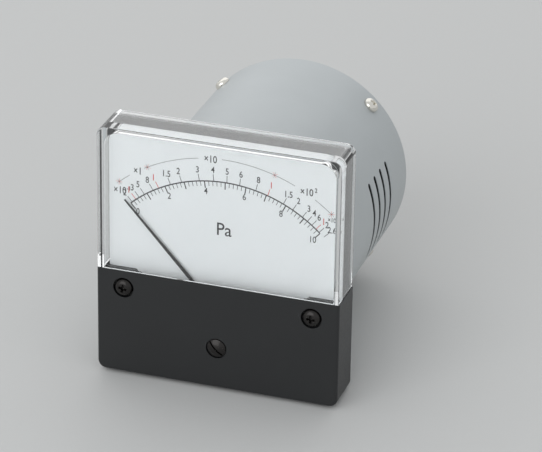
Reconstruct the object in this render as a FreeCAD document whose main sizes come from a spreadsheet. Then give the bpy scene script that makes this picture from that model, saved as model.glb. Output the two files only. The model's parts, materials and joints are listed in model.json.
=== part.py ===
import FreeCAD, Part
import math
import os
import Sketcher


# Sizes in millimetres and degrees.
# X runs to the right, Y runs to the rear and Z runs up. The origin is the centre of the bezel's rear face,
# which is the face that seats on an instrument panel.

doc = FreeCAD.newDocument("VacuumGauge")
sheet = doc.addObject("Spreadsheet::Sheet", "Sizes")
sheet_rows = []


def formula_of(value):
    return value.formula if isinstance(value, Size) else repr(float(value))


class Size(float):
    """A length or an angle together with the sheet formula that it comes from."""

    def __new__(cls, value, formula):
        number = super().__new__(cls, value)
        number.formula = formula
        return number

    def __add__(self, other):
        return Size(float(self) + float(other), "({} + {})".format(self.formula, formula_of(other)))

    def __radd__(self, other):
        return Size(float(other) + float(self), "({} + {})".format(formula_of(other), self.formula))

    def __sub__(self, other):
        return Size(float(self) - float(other), "({} - {})".format(self.formula, formula_of(other)))

    def __rsub__(self, other):
        return Size(float(other) - float(self), "({} - {})".format(formula_of(other), self.formula))

    def __mul__(self, other):
        return Size(float(self) * float(other), "({} * {})".format(self.formula, formula_of(other)))

    def __rmul__(self, other):
        return Size(float(other) * float(self), "({} * {})".format(formula_of(other), self.formula))

    def __truediv__(self, other):
        return Size(float(self) / float(other), "({} / {})".format(self.formula, formula_of(other)))

    def __neg__(self):
        return Size(-float(self), "(-{})".format(self.formula))


def size(alias, value, meaning):
    """Write one driving dimension into the sheet."""
    row = len(sheet_rows) + 2
    sheet_rows.append(alias)
    sheet.set("A{}".format(row), meaning)
    sheet.set("B{}".format(row), str(value))
    sheet.setAlias("B{}".format(row), alias)
    return Size(value, "Sizes." + alias)


def sine(angle):
    return Size(math.sin(math.radians(angle)), "sin({})".format(formula_of(angle)))


def cosine(angle):
    return Size(math.cos(math.radians(angle)), "cos({})".format(formula_of(angle)))


# Bezel
bezel_width = size("bezel_width", 85.0, "width of the black lower panel")
bezel_height = size("bezel_height", 89.7, "height of cover and lower panel together")
bezel_depth = size("bezel_depth", 15.3, "depth of the bezel in front of the instrument panel")
bezel_corner = size("bezel_corner", 3.0, "corner radius seen from the front")
seam_gap = size("seam_gap", 0.1, "gap between cover and lower panel")
rebate_depth = size("rebate_depth", 2.0, "depth of the rear rebate that takes the case flange")
rebate_width = size("rebate_width", 0.7, "how far that rebate cuts into the walls")

# Lower panel
lower_height = size("lower_height", 38.2, "height of the black lower panel")
lower_side_wall = size("lower_side_wall", 1.6, "side and bottom wall of the lower panel")
lower_front_wall = size("lower_front_wall", 1.9, "front wall of the lower panel")
lower_edge_round = size("lower_edge_round", 1.0, "rounding of its front edges")
lip_drop = size("lip_drop", 1.25, "depth of the step that takes the cover's tongue")
lip_thickness = size("lip_thickness", 0.9, "thickness of the lip in front of that step")
ledge_width = size("ledge_width", 3.85, "width of the corner blocks on the inner side of the front screws")
ledge_height = size("ledge_height", 9.4, "height of those blocks")
ledge_chamfer = size("ledge_chamfer", 1.25, "chamfer of their upper inner edge")
recess_radius = size("recess_radius", 3.65, "radius of the round recess at each front screw")
recess_depth = size("recess_depth", 1.6, "depth of that recess")
screw_spread = size("screw_spread", 66.0, "distance between the two front screws")
screw_drop = size("screw_drop", 6.25, "front screws below the seam")
front_screw_length = size("front_screw_length", 10.5, "length of the front screws under their heads")

# Cover
cover_inset = size("cover_inset", 0.3, "how far the cover's sides stand inside the lower panel's")
cover_wall = size("cover_wall", 2.0, "side and top wall of the cover")
cover_front_wall = size("cover_front_wall", 1.9, "window thickness")
cover_edge_round = size("cover_edge_round", 2.0, "rounding of the window's edges")

# Dial
dial_setback = size("dial_setback", 6.4, "dial face behind the bezel's front")
dial_thickness = size("dial_thickness", 0.6, "thickness of the dial plate")
dial_corner = size("dial_corner", 5.1, "corner radius of the dial plate")
dial_gap = size("dial_gap", 0.25, "gap between the dial and the cover's walls")
dial_drop = size("dial_drop", 16.0, "bottom edge of the dial below the centre")
dial_notch = size("dial_notch", 7.0, "radius of the cut-out round the pointer's axis")
dial_screw_spread = size("dial_screw_spread", 48.0, "distance between the two dial screws")
dial_screw_drop = size("dial_screw_drop", 13.3, "dial screws below the centre")
dial_screw_radius = size("dial_screw_radius", 1.0, "radius of the dial screws and block screws")
dial_screw_head = size("dial_screw_head", 1.8, "radius of their heads")
dial_screw_height = size("dial_screw_height", 1.2, "height of their heads")
dial_screw_length = size("dial_screw_length", 3.0, "length of the dial screws under their heads")

# Case
case_gap = size("case_gap", 0.15, "gap between the case and the shells around it")
rim_wall = size("rim_wall", 1.6, "wall of the rim that carries the dial")
cup_half_width = size("cup_half_width", 16.8, "inner half width of the cup round the movement")
cup_half_height = size("cup_half_height", 13.3, "inner half height of that cup")
cup_wall = size("cup_wall", 1.6, "wall of the cup")
cup_depth = size("cup_depth", 20.0, "depth of the cup behind the bezel")
cup_corner = size("cup_corner", 8.0, "outer corner radius of the cup")
boss_wall = size("boss_wall", 1.9, "wall round a fastener's bore")
thread_gap = size("thread_gap", 0.04, "radial gap round a fastener in its bore")
hole_gap = size("hole_gap", 0.2, "radial gap of a screw in a clearance hole")
insert_depth = size("insert_depth", 5.0, "depth of the bores for panel studs and spacers")
boss_floor = size("boss_floor", 1.0, "floor in front of those bores")
seat_depth = size("seat_depth", 0.6, "depth of the round recess in the case's rear face that centres the can")
stud_spread = size("stud_spread", 66.0, "distance between panel studs, both ways")
stud_radius = size("stud_radius", 2.0, "radius of a panel stud")
stud_length = size("stud_length", 12.0, "length of a panel stud behind the bezel")
stud_root = size("stud_root", 2.6, "radius of a panel stud's root in the case")
terminal_side = size("terminal_side", 8.0, "movement terminals to either side of the centre")
terminal_drop = size("terminal_drop", 10.0, "movement terminals below the centre")
terminal_head = size("terminal_head", 2.4, "radius of their heads inside the cup")
terminal_head_height = size("terminal_head_height", 1.0, "height of their heads")
terminal_length = size("terminal_length", 10.6, "length of a movement terminal behind its head")
nut_height = size("nut_height", 2.4, "height of the nuts on the movement terminals")

# Movement
pivot_drop = size("pivot_drop", 19.8, "pointer axis below the centre")
rest_angle = size("rest_angle", 42.5, "pointer at rest, from straight up towards the left")
core_radius = size("core_radius", 6.0, "radius of the magnet core")
core_front = size("core_front", -3.0, "front face of core and yoke")
core_length = size("core_length", 10.0, "length of core and yoke")
yoke_bore = size("yoke_bore", 8.1, "inner radius of the yoke ring")
yoke_radius = size("yoke_radius", 12.5, "outer radius of the yoke ring")
pillar_reach = size("pillar_reach", 13.8, "frame screws from the pointer axis")
frame_screw_radius = size("frame_screw_radius", 1.5, "radius of a frame screw")
frame_screw_head = size("frame_screw_head", 2.6, "radius of a frame screw's head")
frame_screw_height = size("frame_screw_height", 1.0, "height of that head")
frame_screw_end = size("frame_screw_end", 16.0, "tip of a frame screw behind the bezel's rear face")
sleeve_wall = size("sleeve_wall", 0.85, "wall of the sleeves on the frame screws")
bridge_thickness = size("bridge_thickness", 0.8, "thickness of both bridges")
bridge_width = size("bridge_width", 5.0, "width of both bridges")
bridge_ring = size("bridge_ring", 0.9, "wall round a jewel screw")
front_bridge_front = size("front_bridge_front", -12.0, "front face of the front bridge")
rear_bridge_front = size("rear_bridge_front", 11.0, "front face of the rear bridge")
coil_gap = size("coil_gap", 0.6, "gap between the core and the coil former")
coil_end_gap = size("coil_end_gap", 1.6, "gap between core and coil former at the ends")
former_thickness = size("former_thickness", 0.35, "wall of the coil former")
former_width = size("former_width", 3.6, "width of the coil former")
winding_thickness = size("winding_thickness", 0.55, "thickness of the winding")
winding_width = size("winding_width", 3.0, "width of the winding")
foot_radius = size("foot_radius", 1.5, "radius of the foot that fixes a staff to the coil")
foot_thickness = size("foot_thickness", 0.5, "thickness of that foot")
collet_radius = size("collet_radius", 0.9, "radius of a hairspring's collet")
collet_length = size("collet_length", 0.5, "length of the rear collet")
staff_radius = size("staff_radius", 0.4, "radius of the coil's staffs")
staff_gap = size("staff_gap", 0.06, "radial gap of a staff in its jewel")
jewel_radius = size("jewel_radius", 1.8, "radius of a jewel screw")
jewel_length = size("jewel_length", 2.2, "length of the rear jewel screw")
jewel_nut_flat = size("jewel_nut_flat", 5.0, "width across flats of a jewel screw's nut")
jewel_nut_height = size("jewel_nut_height", 0.5, "height of that nut")
slot_width = size("slot_width", 0.6, "width of a screwdriver slot")
slot_depth = size("slot_depth", 0.6, "depth of a screwdriver slot")
strap_thickness = size("strap_thickness", 0.8, "thickness of the straps that hold the core")
strap_width = size("strap_width", 3.2, "width of those straps")
strap_screw_radius = size("strap_screw_radius", 0.8, "radius of a strap screw")
strap_screw_head = size("strap_screw_head", 1.3, "radius of its head")
strap_screw_height = size("strap_screw_height", 0.8, "height of its head")
strap_screw_length = size("strap_screw_length", 3.0, "length of a strap screw under its head")
spring_strip = size("spring_strip", 0.12, "thickness of a hairspring's strip")
spring_width = size("spring_width", 0.25, "width of that strip")
spring_reach = size("spring_reach", 4.2, "where a hairspring's outer end is fixed")
spring_post = size("spring_post", 0.85, "length of the post that holds a hairspring's end")
spring_turns = size("spring_turns", 3.0, "turns of a hairspring")

# Pointer
pointer_gap = size("pointer_gap", 0.9, "pointer above the dial")
pointer_thickness = size("pointer_thickness", 0.25, "thickness of the pointer")
pointer_length = size("pointer_length", 50.6, "pointer tip from its axis")
pointer_root = size("pointer_root", 1.5, "width of the pointer at its hub")
pointer_tip = size("pointer_tip", 0.5, "width of the pointer at its tip")
pointer_tail = size("pointer_tail", 9.2, "length of the tail")
pointer_arm = size("pointer_arm", 7.4, "length of each balance arm")
hub_radius = size("hub_radius", 1.9, "radius of the pointer's hub")
hub_step = size("hub_step", 0.4, "how far the hub stands out on both sides of the pointer")
arm_strip = size("arm_strip", 0.7, "width of the tail and of the balance arms")
tail_weight_radius = size("tail_weight_radius", 1.1, "radius of the tail weight")
tail_weight_length = size("tail_weight_length", 3.41, "length of the tail weight")
arm_weight_radius = size("arm_weight_radius", 0.7, "radius of an arm weight")
arm_weight_length = size("arm_weight_length", 1.6, "length of an arm weight")
stop_angle = size("stop_angle", 59.0, "pointer stops from straight up")
stop_reach = size("stop_reach", 10.0, "pointer stops from the pointer's axis")
stop_radius = size("stop_radius", 0.4, "radius of a pointer stop")

# Zero adjuster
adjuster_drop = size("adjuster_drop", 30.0, "zero adjuster below the centre")
adjuster_recess = size("adjuster_recess", 3.65, "radius of its round recess")
adjuster_head = size("adjuster_head", 3.2, "radius of its head")
adjuster_shaft = size("adjuster_shaft", 1.9, "radius of its shaft")
adjuster_dome = size("adjuster_dome", 0.9, "height of its domed face in front of the bezel")
adjuster_sink = size("adjuster_sink", 1.0, "depth of the recess under that head")
adjuster_boss = size("adjuster_boss", 0.35, "height of the boss behind the lower panel")
ring_thickness = size("ring_thickness", 0.35, "thickness of the ring that retains the shaft")
ring_width = size("ring_width", 1.2, "width of that ring")
crank_reach = size("crank_reach", 1.4, "eccentric pin from the adjuster's axis")
crank_radius = size("crank_radius", 0.45, "radius of the eccentric pin")
running_gap = size("running_gap", 0.05, "radial gap of a running fit")
arm_thickness = size("arm_thickness", 0.35, "thickness of the zero arm")
fork_wall = size("fork_wall", 0.8, "wall of the fork round the eccentric pin")

# Can
can_radius = size("can_radius", 38.9, "outer radius of the can")
can_wall = size("can_wall", 1.0, "wall of the can")
can_length = size("can_length", 75.2, "rear end of the can behind the bezel")
vent_width = size("vent_width", 2.0, "width of a vent slot")
vent_pitch = size("vent_pitch", 6.4, "distance between vent slots")
vent_first = size("vent_first", 36.5, "first vent slot behind the bezel")
vent_angle = size("vent_angle", 20.9, "half angle that a vent slot spans")
can_screw_setback = size("can_screw_setback", 68.5, "can screws behind the bezel")
can_screw_angle = size("can_screw_angle", 43.8, "can screws from straight up")
can_screw_length = size("can_screw_length", 3.6, "length of a can screw under its head")

# Boards and spacers
spacer_spread = size("spacer_spread", 44.0, "distance between spacers, both ways")
spacer_flat = size("spacer_flat", 5.5, "width across flats of a spacer")
spacer_stud = size("spacer_stud", 1.45, "radius of a spacer's stud")
spacer_engage = size("spacer_engage", 4.8, "length of that stud")
spacer_bore = size("spacer_bore", 6.0, "depth of the bore at a spacer's rear end")
board_gap = size("board_gap", 0.8, "gap between the boards and the can")
board_thickness = size("board_thickness", 1.6, "thickness of both boards")
amplifier_setback = size("amplifier_setback", 24.0, "amplifier board behind the bezel")
power_setback = size("power_setback", 49.0, "power board behind the bezel")
chip_length = size("chip_length", 9.6, "length of a chip")
chip_width = size("chip_width", 6.4, "width of a chip")
chip_height = size("chip_height", 3.4, "height of a chip")
chip_side = size("chip_side", 14.0, "upper chips to either side of the centre")
chip_rise = size("chip_rise", 6.0, "upper chips above the centre")
chip_drop = size("chip_drop", 26.0, "lower chip below the centre")
core_wide = size("core_wide", 32.0, "width of the transformer core")
core_tall = size("core_tall", 27.0, "height of the transformer core")
core_stack = size("core_stack", 12.0, "thickness of the transformer core")
core_limb = size("core_limb", 4.0, "width of the outer limbs, half that of the middle one")
transformer_rise = size("transformer_rise", 10.0, "transformer above the centre")
coil_wide = size("coil_wide", 19.0, "width of the transformer's coil")
coil_deep = size("coil_deep", 18.0, "depth of the transformer's coil")
capacitor_radius = size("capacitor_radius", 5.0, "radius of a capacitor")
capacitor_height = size("capacitor_height", 14.0, "height of a capacitor")
capacitor_side = size("capacitor_side", 8.0, "upper capacitors to either side of the centre")
capacitor_drop = size("capacitor_drop", 14.0, "upper capacitors below the centre")
capacitor_low = size("capacitor_low", 26.0, "lower capacitor below the centre")
regulator_width = size("regulator_width", 10.0, "width of the voltage regulator")
regulator_thickness = size("regulator_thickness", 4.5, "thickness of its body")
regulator_body = size("regulator_body", 9.2, "height of its body")
tab_thickness = size("tab_thickness", 1.3, "thickness of its tab")
tab_height = size("tab_height", 6.0, "height of its tab")
regulator_rise = size("regulator_rise", 20.0, "regulator above the centre")

# Rear plate
plate_thickness = size("plate_thickness", 1.2, "sheet of the rear plate")
plate_setback = size("plate_setback", 71.6, "inner face of the rear plate behind the bezel")
plate_gap = size("plate_gap", 0.1, "gap between rear plate and can")
plate_flange = size("plate_flange", 7.5, "length of the rear plate's flange")
plate_bend = size("plate_bend", 1.5, "outer bend radius of the rear plate")
plate_screw_length = size("plate_screw_length", 5.6, "length of a plate screw under its head")
screw_radius = size("screw_radius", 1.5, "radius of the small screws")
head_radius = size("head_radius", 2.75, "radius of their heads")
head_height = size("head_height", 1.9, "height of their heads")
front_head_radius = size("front_head_radius", 3.2, "radius of the front screws' heads")
front_head_height = size("front_head_height", 2.6, "height of the front screws' heads")

# Rear fittings
socket_side = size("socket_side", 13.0, "gauge socket to the right of the centre")
socket_rise = size("socket_rise", 7.0, "gauge socket above the centre")
socket_radius = size("socket_radius", 7.0, "outer radius of the socket's barrel")
socket_bore = size("socket_bore", 5.8, "inner radius of the socket's barrel")
socket_reach = size("socket_reach", 8.0, "length of the barrel behind the rear plate")
socket_depth = size("socket_depth", 6.0, "depth of the socket's hollow")
socket_thread = size("socket_thread", 6.6, "radius of the socket's thread")
socket_tail = size("socket_tail", 6.4, "length of that thread in front of the rear plate")
socket_flange = size("socket_flange", 9.0, "radius of the socket's flange")
socket_flange_height = size("socket_flange_height", 1.4, "height of that flange")
socket_nut_flat = size("socket_nut_flat", 17.0, "width across flats of the socket's nut")
socket_nut_height = size("socket_nut_height", 2.5, "height of that nut")
socket_insert_radius = size("socket_insert_radius", 4.9, "radius of the insulating insert")
contact_radius = size("contact_radius", 0.6, "radius of a contact hole in the socket")
contact_circle = size("contact_circle", 3.5, "radius of the circle of contacts")
contact_depth = size("contact_depth", 4.0, "depth of a contact hole")
pot_side = size("pot_side", 13.0, "potentiometers to the left of the centre")
pot_rise = size("pot_rise", 7.0, "middle between the potentiometers above the centre")
pot_pitch = size("pot_pitch", 17.0, "distance between the potentiometers")
pot_radius = size("pot_radius", 6.0, "radius of a potentiometer's body")
pot_bush = size("pot_bush", 3.2, "radius of its bush")
pot_shaft = size("pot_shaft", 2.0, "radius of its shaft")
pot_depth = size("pot_depth", 7.0, "depth of a potentiometer's body")
pot_bush_length = size("pot_bush_length", 4.5, "bush behind the rear plate")
pot_shaft_end = size("pot_shaft_end", 1.5, "shaft behind the bush")
pot_shaft_root = size("pot_shaft_root", 3.0, "shaft in front of the rear plate")
pot_nut_flat = size("pot_nut_flat", 9.0, "width across flats of a potentiometer's nut")
pot_nut_height = size("pot_nut_height", 2.0, "height of that nut")
block_width = size("block_width", 37.0, "width of the terminal block")
block_height = size("block_height", 12.0, "height of the terminal block")
block_base = size("block_base", 5.5, "depth of its base")
block_drop = size("block_drop", 18.5, "terminal block below the centre")
pole_pitch = size("pole_pitch", 7.0, "distance between terminals")
ear_thickness = size("ear_thickness", 2.5, "thickness of the ears at the block's ends")
terminal_screw_head = size("terminal_screw_head", 2.4, "radius of a terminal screw's head")
terminal_screw_height = size("terminal_screw_height", 1.6, "height of a terminal screw's head")
terminal_screw_length = size("terminal_screw_length", 4.0, "length of a terminal screw under its head")
barrier_depth = size("barrier_depth", 9.5, "depth of its barriers")
barrier_thickness = size("barrier_thickness", 1.3, "thickness of its barriers")

terminal_count = 4
contact_count = 6
vent_count = 4

# Places that follow from the sizes above
half_width = bezel_width / 2
half_height = bezel_height / 2
front_face = -bezel_depth
seam_level = lower_height - half_height
ledge_level = seam_level - lip_drop
ledge_end = screw_spread / 2 - ledge_width
screw_level = seam_level - screw_drop
lower_inside = front_face + lower_front_wall
window_inside = front_face + cover_front_wall
cover_half_width = half_width - cover_inset
dial_face = front_face + dial_setback
dial_back = dial_face + dial_thickness
dial_half_width = cover_half_width - cover_wall - dial_gap
dial_top = half_height - cover_wall - dial_gap
cup_level = -pivot_drop
core_rear = core_front + core_length
former_front = core_front - coil_end_gap
former_rear = core_rear + coil_end_gap
winding_front = former_front - former_thickness - winding_thickness
winding_rear = former_rear + former_thickness + winding_thickness
bridge_rear_face = front_bridge_front + bridge_thickness
pointer_rear = dial_face - pointer_gap
pointer_front = pointer_rear - pointer_thickness
arm_rear = front_bridge_front - running_gap
arm_front = arm_rear - arm_thickness
front_spring_front = bridge_rear_face + spring_width
rear_spring_front = rear_bridge_front - spring_post
front_jewel_front = arm_front - running_gap - jewel_nut_height - staff_gap
rear_jewel_front = rear_bridge_front - staff_radius
rear_jewel_rear = rear_jewel_front + jewel_length
plate_face = plate_setback + plate_thickness
can_bore = can_radius - can_wall
plate_radius = can_bore - plate_gap
board_radius = can_bore - board_gap
pole_span = pole_pitch * terminal_count
ear_centre = (block_width + pole_span + barrier_thickness) / 4


# Drawing and shaping

def vector(x, y, z=0.0):
    return FreeCAD.Vector(float(x), float(y), float(z))


def bind(thing, name, value):
    """Tie a property to the sheet."""
    thing.setExpression(name, formula_of(value))


def move(thing, x=0.0, y=0.0, z=0.0):
    for axis, value in zip("xyz", (x, y, z)):
        bind(thing, "Placement.Base." + axis, value)


def origin_part(body, role):
    return next(part for part in body.Origin.OriginFeatures if part.Role == role)


def start_body(label, x=0.0, y=0.0, z=0.0):
    body = doc.addObject("PartDesign::Body", label)
    body.Label = label
    move(body, x, y, z)
    return body


def start_sketch(body, role, offset=0.0):
    sketch = body.newObject("Sketcher::SketchObject", body.Name + "_sketch")
    sketch.AttachmentSupport = [(origin_part(body, role), "")]
    sketch.MapMode = "FlatFace"
    bind(sketch, "AttachmentOffset.Base.z", offset)
    return sketch


def constrain(sketch, value, kind, *target):
    index = sketch.addConstraint(Sketcher.Constraint(kind, *target, float(value)))
    bind(sketch, "Constraints[{}]".format(index), value)


def fix_point(sketch, geometry, end, x, y):
    constrain(sketch, x, "DistanceX", -1, 1, geometry, end)
    constrain(sketch, y, "DistanceY", -1, 1, geometry, end)


def draw_circle(sketch, x, y, radius):
    circle = sketch.addGeometry(Part.Circle(vector(x, y), vector(0, 0, 1), float(radius)), False)
    fix_point(sketch, circle, 3, x, y)
    constrain(sketch, radius, "Radius", circle)


def draw_outline(sketch, corners):
    """Closed outline, drawn anticlockwise. A corner with a third value starts an arc of that radius
    that bulges outwards on its way to the next corner."""
    ends = []
    for corner, following in zip(corners, corners[1:] + corners[:1]):
        start = vector(corner[0], corner[1])
        finish = vector(following[0], following[1])
        if len(corner) == 2:
            line = sketch.addGeometry(Part.LineSegment(start, finish), False)
            ends.append(line)
            continue
        chord = finish - start
        height = math.sqrt(max(float(corner[2]) ** 2 - (chord.Length / 2) ** 2, 0.0))
        centre = (start + finish) * 0.5 + vector(-chord.y, chord.x) * (height / chord.Length)
        first = math.atan2(start.y - centre.y, start.x - centre.x)
        last = math.atan2(finish.y - centre.y, finish.x - centre.x)
        if last <= first:
            last += 2 * math.pi
        circle = Part.Circle(centre, vector(0, 0, 1), float(corner[2]))
        arc = sketch.addGeometry(Part.ArcOfCircle(circle, first, last), False)
        ends.append(arc)
        constrain(sketch, corner[2], "Radius", arc)
    for index, corner in enumerate(corners):
        fix_point(sketch, ends[index], 1, corner[0], corner[1])
        sketch.addConstraint(Sketcher.Constraint("Coincident", ends[index - 1], 2, ends[index], 1))


def draw_box(sketch, left, right, low, high, top_corner=None, bottom_corner=None):
    """Rectangle whose upper and lower corners can be rounded."""
    corners = []
    if bottom_corner is None:
        corners += [(left, low), (right, low)]
    else:
        corners += [(left + bottom_corner, low), (right - bottom_corner, low, bottom_corner)]
        corners += [(right, low + bottom_corner)]
    if top_corner is None:
        corners += [(right, high), (left, high)]
    else:
        corners += [(right, high - top_corner, top_corner), (right - top_corner, high)]
        corners += [(left + top_corner, high, top_corner), (left, high - top_corner)]
    if bottom_corner is not None:
        corners += [(left, low + bottom_corner, bottom_corner)]
    draw_outline(sketch, corners)


def draw_bar(sketch, reach, radius, x=0.0, y=0.0, upright=False):
    """Bar with round ends whose end centres lie at plus and minus reach."""
    if upright:
        corners = [(x + radius, y - reach), (x + radius, y + reach, radius), (x, y + reach + radius, radius),
                   (x - radius, y + reach), (x - radius, y - reach, radius), (x, y - reach - radius, radius)]
    else:
        corners = [(x - reach, y - radius), (x + reach, y - radius, radius), (x + reach + radius, y, radius),
                   (x + reach, y + radius), (x - reach, y + radius, radius), (x - reach - radius, y, radius)]
    draw_outline(sketch, corners)


def add_feature(body, kind, sketch):
    feature = body.newObject("PartDesign::" + kind, body.Name + "_" + kind.lower())
    feature.Profile = sketch
    body.Tip = feature
    return feature


def pad(body, front, rear, draw, *sizes, **more):
    """Add what is drawn on the XZ plane between two depths."""
    sketch = start_sketch(body, "XZ_Plane", -rear)
    draw(sketch, *sizes, **more)
    feature = add_feature(body, "Pad", sketch)
    bind(feature, "Length", rear - front)
    return feature


def pocket(body, front, rear, draw, *sizes, **more):
    """Cut what is drawn on the XZ plane between two depths."""
    sketch = start_sketch(body, "XZ_Plane", -front)
    draw(sketch, *sizes, **more)
    feature = add_feature(body, "Pocket", sketch)
    bind(feature, "Length", rear - front)
    return feature


def pad_across(body, role, width, draw, *sizes, **more):
    """Add what is drawn on one of the other planes, half of the width to each side."""
    sketch = start_sketch(body, role)
    draw(sketch, *sizes, **more)
    feature = add_feature(body, "Pad", sketch)
    feature.SideType = "Symmetric"
    bind(feature, "Length", width)
    return feature


def spin(body, corners):
    """Turn a profile of (radius, depth) corners round the body's own Y axis."""
    sketch = start_sketch(body, "XY_Plane")
    draw_outline(sketch, corners)
    feature = add_feature(body, "Revolution", sketch)
    feature.ReferenceAxis = (sketch, ["V_Axis"])
    feature.Angle = 360
    return feature


def dress_edges(body, kind, amount, wanted):
    """Round or chamfer the edges that the test picks."""
    doc.recompute()
    base = body.Tip
    names = ["Edge{}".format(number + 1) for number, edge in enumerate(base.Shape.Edges) if wanted(edge)]
    if not names:
        raise RuntimeError("no edge found to dress on " + body.Label)
    feature = body.newObject("PartDesign::" + kind, body.Name + "_" + kind.lower())
    feature.Base = (base, names)
    bind(feature, "Radius" if kind == "Fillet" else "Size", amount)
    body.Tip = feature
    return feature


def same(first, second, slack=0.01):
    return abs(float(first) - float(second)) < slack


def at_depth(edge, depth):
    return all(same(vertex.Y, depth) for vertex in edge.Vertexes)


def at_level(edge, level):
    return all(same(vertex.Z, level) for vertex in edge.Vertexes)


def mirror(source, normal):
    copy = doc.addObject("Part::Mirroring", source.Name + "_mirror")
    copy.Source = source
    copy.Normal = normal
    return copy


def group(label, *members):
    """Several like solids that share one node."""
    whole = doc.addObject("Part::Compound", label)
    whole.Label = label
    whole.Links = list(members)
    return whole


def left_and_right(label, source):
    return group(label, source, mirror(source, vector(1, 0, 0)))


def four_corners(label, source):
    """The source and its copies to the left, below, and below on the left."""
    left = mirror(source, vector(1, 0, 0))
    return group(label, source, left, mirror(source, vector(0, 0, 1)), mirror(left, vector(0, 0, 1)))


def tube(label, front, rear, radius, bore, x=0.0, z=0.0):
    body = start_body(label, x, 0.0, z)
    spin(body, [(bore, front), (radius, front), (radius, rear), (bore, rear)])
    return body


def rod(label, front, rear, radius, x=0.0, z=0.0):
    body = start_body(label, x, 0.0, z)
    spin(body, [(0.0, front), (radius, front), (radius, rear), (0.0, rear)])
    return body


def hex_corners(flat):
    """Corners of a hexagon with the given width across flats, two of them on the X axis."""
    reach = flat / 2 / cosine(30)
    corners = []
    for step in range(6):
        corners.append((reach * cosine(60 * step), reach * sine(60 * step)))
    return corners


def nut(label, front, rear, flat, bore, x=0.0, z=0.0):
    body = start_body(label, x, 0.0, z)
    pad(body, front, rear, draw_outline, hex_corners(flat))
    pocket(body, front, rear, draw_circle, 0.0, 0.0, bore)
    return body


def screw(label, head, height, radius, length, facing=None):
    """Screw with a domed head whose underside is at the body's origin and whose shank runs along its Y axis."""
    body = doc.addObject("PartDesign::Body", label)
    body.Label = label
    if facing is not None:
        body.Placement = FreeCAD.Placement(vector(0, 0, 0), facing)
    edge = height * 0.45
    rise = height - edge
    spin(body, [(0.0, -height, (head * head + rise * rise) / 2 / rise), (head, -edge), (head, 0.0), (radius, 0.0),
                (radius, length), (0.0, length)])
    return body


turned_back = FreeCAD.Rotation(vector(0, 0, 1), 180)


# Bezel: clear cover and black lower panel

def make_cover():
    body = start_body("cover")
    low = seam_level + seam_gap
    inner = cover_half_width - cover_wall
    inner_top = half_height - cover_wall
    inner_corner = bezel_corner - cover_wall
    below = low - lip_drop
    pad(body, front_face, 0.0, draw_box, -cover_half_width, cover_half_width, low, half_height, bezel_corner)
    dress_edges(body, "Fillet", cover_edge_round,
                lambda edge: at_depth(edge, front_face) and not at_level(edge, low))
    pocket(body, window_inside, 0.0, draw_box, -inner, inner, below, inner_top, dial_corner + dial_gap)
    pocket(body, dial_face - seam_gap, 0.0, draw_box, -inner, inner, below, inner_top, inner_corner)
    pocket(body, -rebate_depth, 0.0, draw_box, -inner - rebate_width, inner + rebate_width, below,
           inner_top + rebate_width, inner_corner + rebate_width)
    pad(body, front_face + lip_thickness + seam_gap, window_inside, draw_box, seam_gap - inner, inner - seam_gap,
        ledge_level + seam_gap, low)
    return body


def make_lower_panel():
    body = start_body("lower_panel")
    inner = half_width - lower_side_wall
    floor = lower_side_wall - half_height
    above = seam_level + lip_drop
    inner_corner = bezel_corner - lower_side_wall
    block_front = lower_inside
    block_rear = dial_face - running_gap
    pad(body, front_face, 0.0, draw_box, -half_width, half_width, -half_height, seam_level,
        bottom_corner=bezel_corner)
    dress_edges(body, "Fillet", lower_edge_round,
                lambda edge: at_depth(edge, front_face) and not at_level(edge, seam_level))
    pocket(body, lower_inside, 0.0, draw_box, -inner, inner, floor, above, bottom_corner=inner_corner)
    block_low = ledge_level - ledge_height
    for side in (1, -1):
        corners = [(inner * side, block_low), (inner * side, ledge_level),
                   ((ledge_end + ledge_chamfer) * side, ledge_level),
                   (ledge_end * side, ledge_level - ledge_chamfer), (ledge_end * side, block_low)]
        pad(body, block_front, block_rear, draw_outline, corners if side > 0 else corners[::-1])
    pocket(body, front_face + lip_thickness, lower_inside, draw_box, -inner, inner, ledge_level, above)
    pocket(body, -rebate_depth, 0.0, draw_box, -inner - rebate_width, inner + rebate_width, floor - rebate_width,
           above, bottom_corner=inner_corner + rebate_width)
    for side in (1, -1):
        x = screw_spread / 2 * side
        pocket(body, front_face, front_face + recess_depth, draw_circle, x, screw_level, recess_radius)
        pocket(body, front_face + recess_depth, block_rear, draw_circle, x, screw_level, screw_radius + hole_gap)
    pad(body, lower_inside, lower_inside + adjuster_boss, draw_circle, 0.0, -adjuster_drop,
        adjuster_shaft + boss_wall)
    pocket(body, front_face, front_face + adjuster_sink, draw_circle, 0.0, -adjuster_drop, adjuster_recess)
    pocket(body, front_face + adjuster_sink, lower_inside + adjuster_boss, draw_circle, 0.0, -adjuster_drop,
           adjuster_shaft + running_gap)
    return body


def make_front_screws():
    source = screw("front_screw", front_head_radius, front_head_height, screw_radius, front_screw_length)
    move(source, screw_spread / 2, front_face + recess_depth, screw_level)
    return left_and_right("front_screws", source)


# Case, dial and studs

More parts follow.
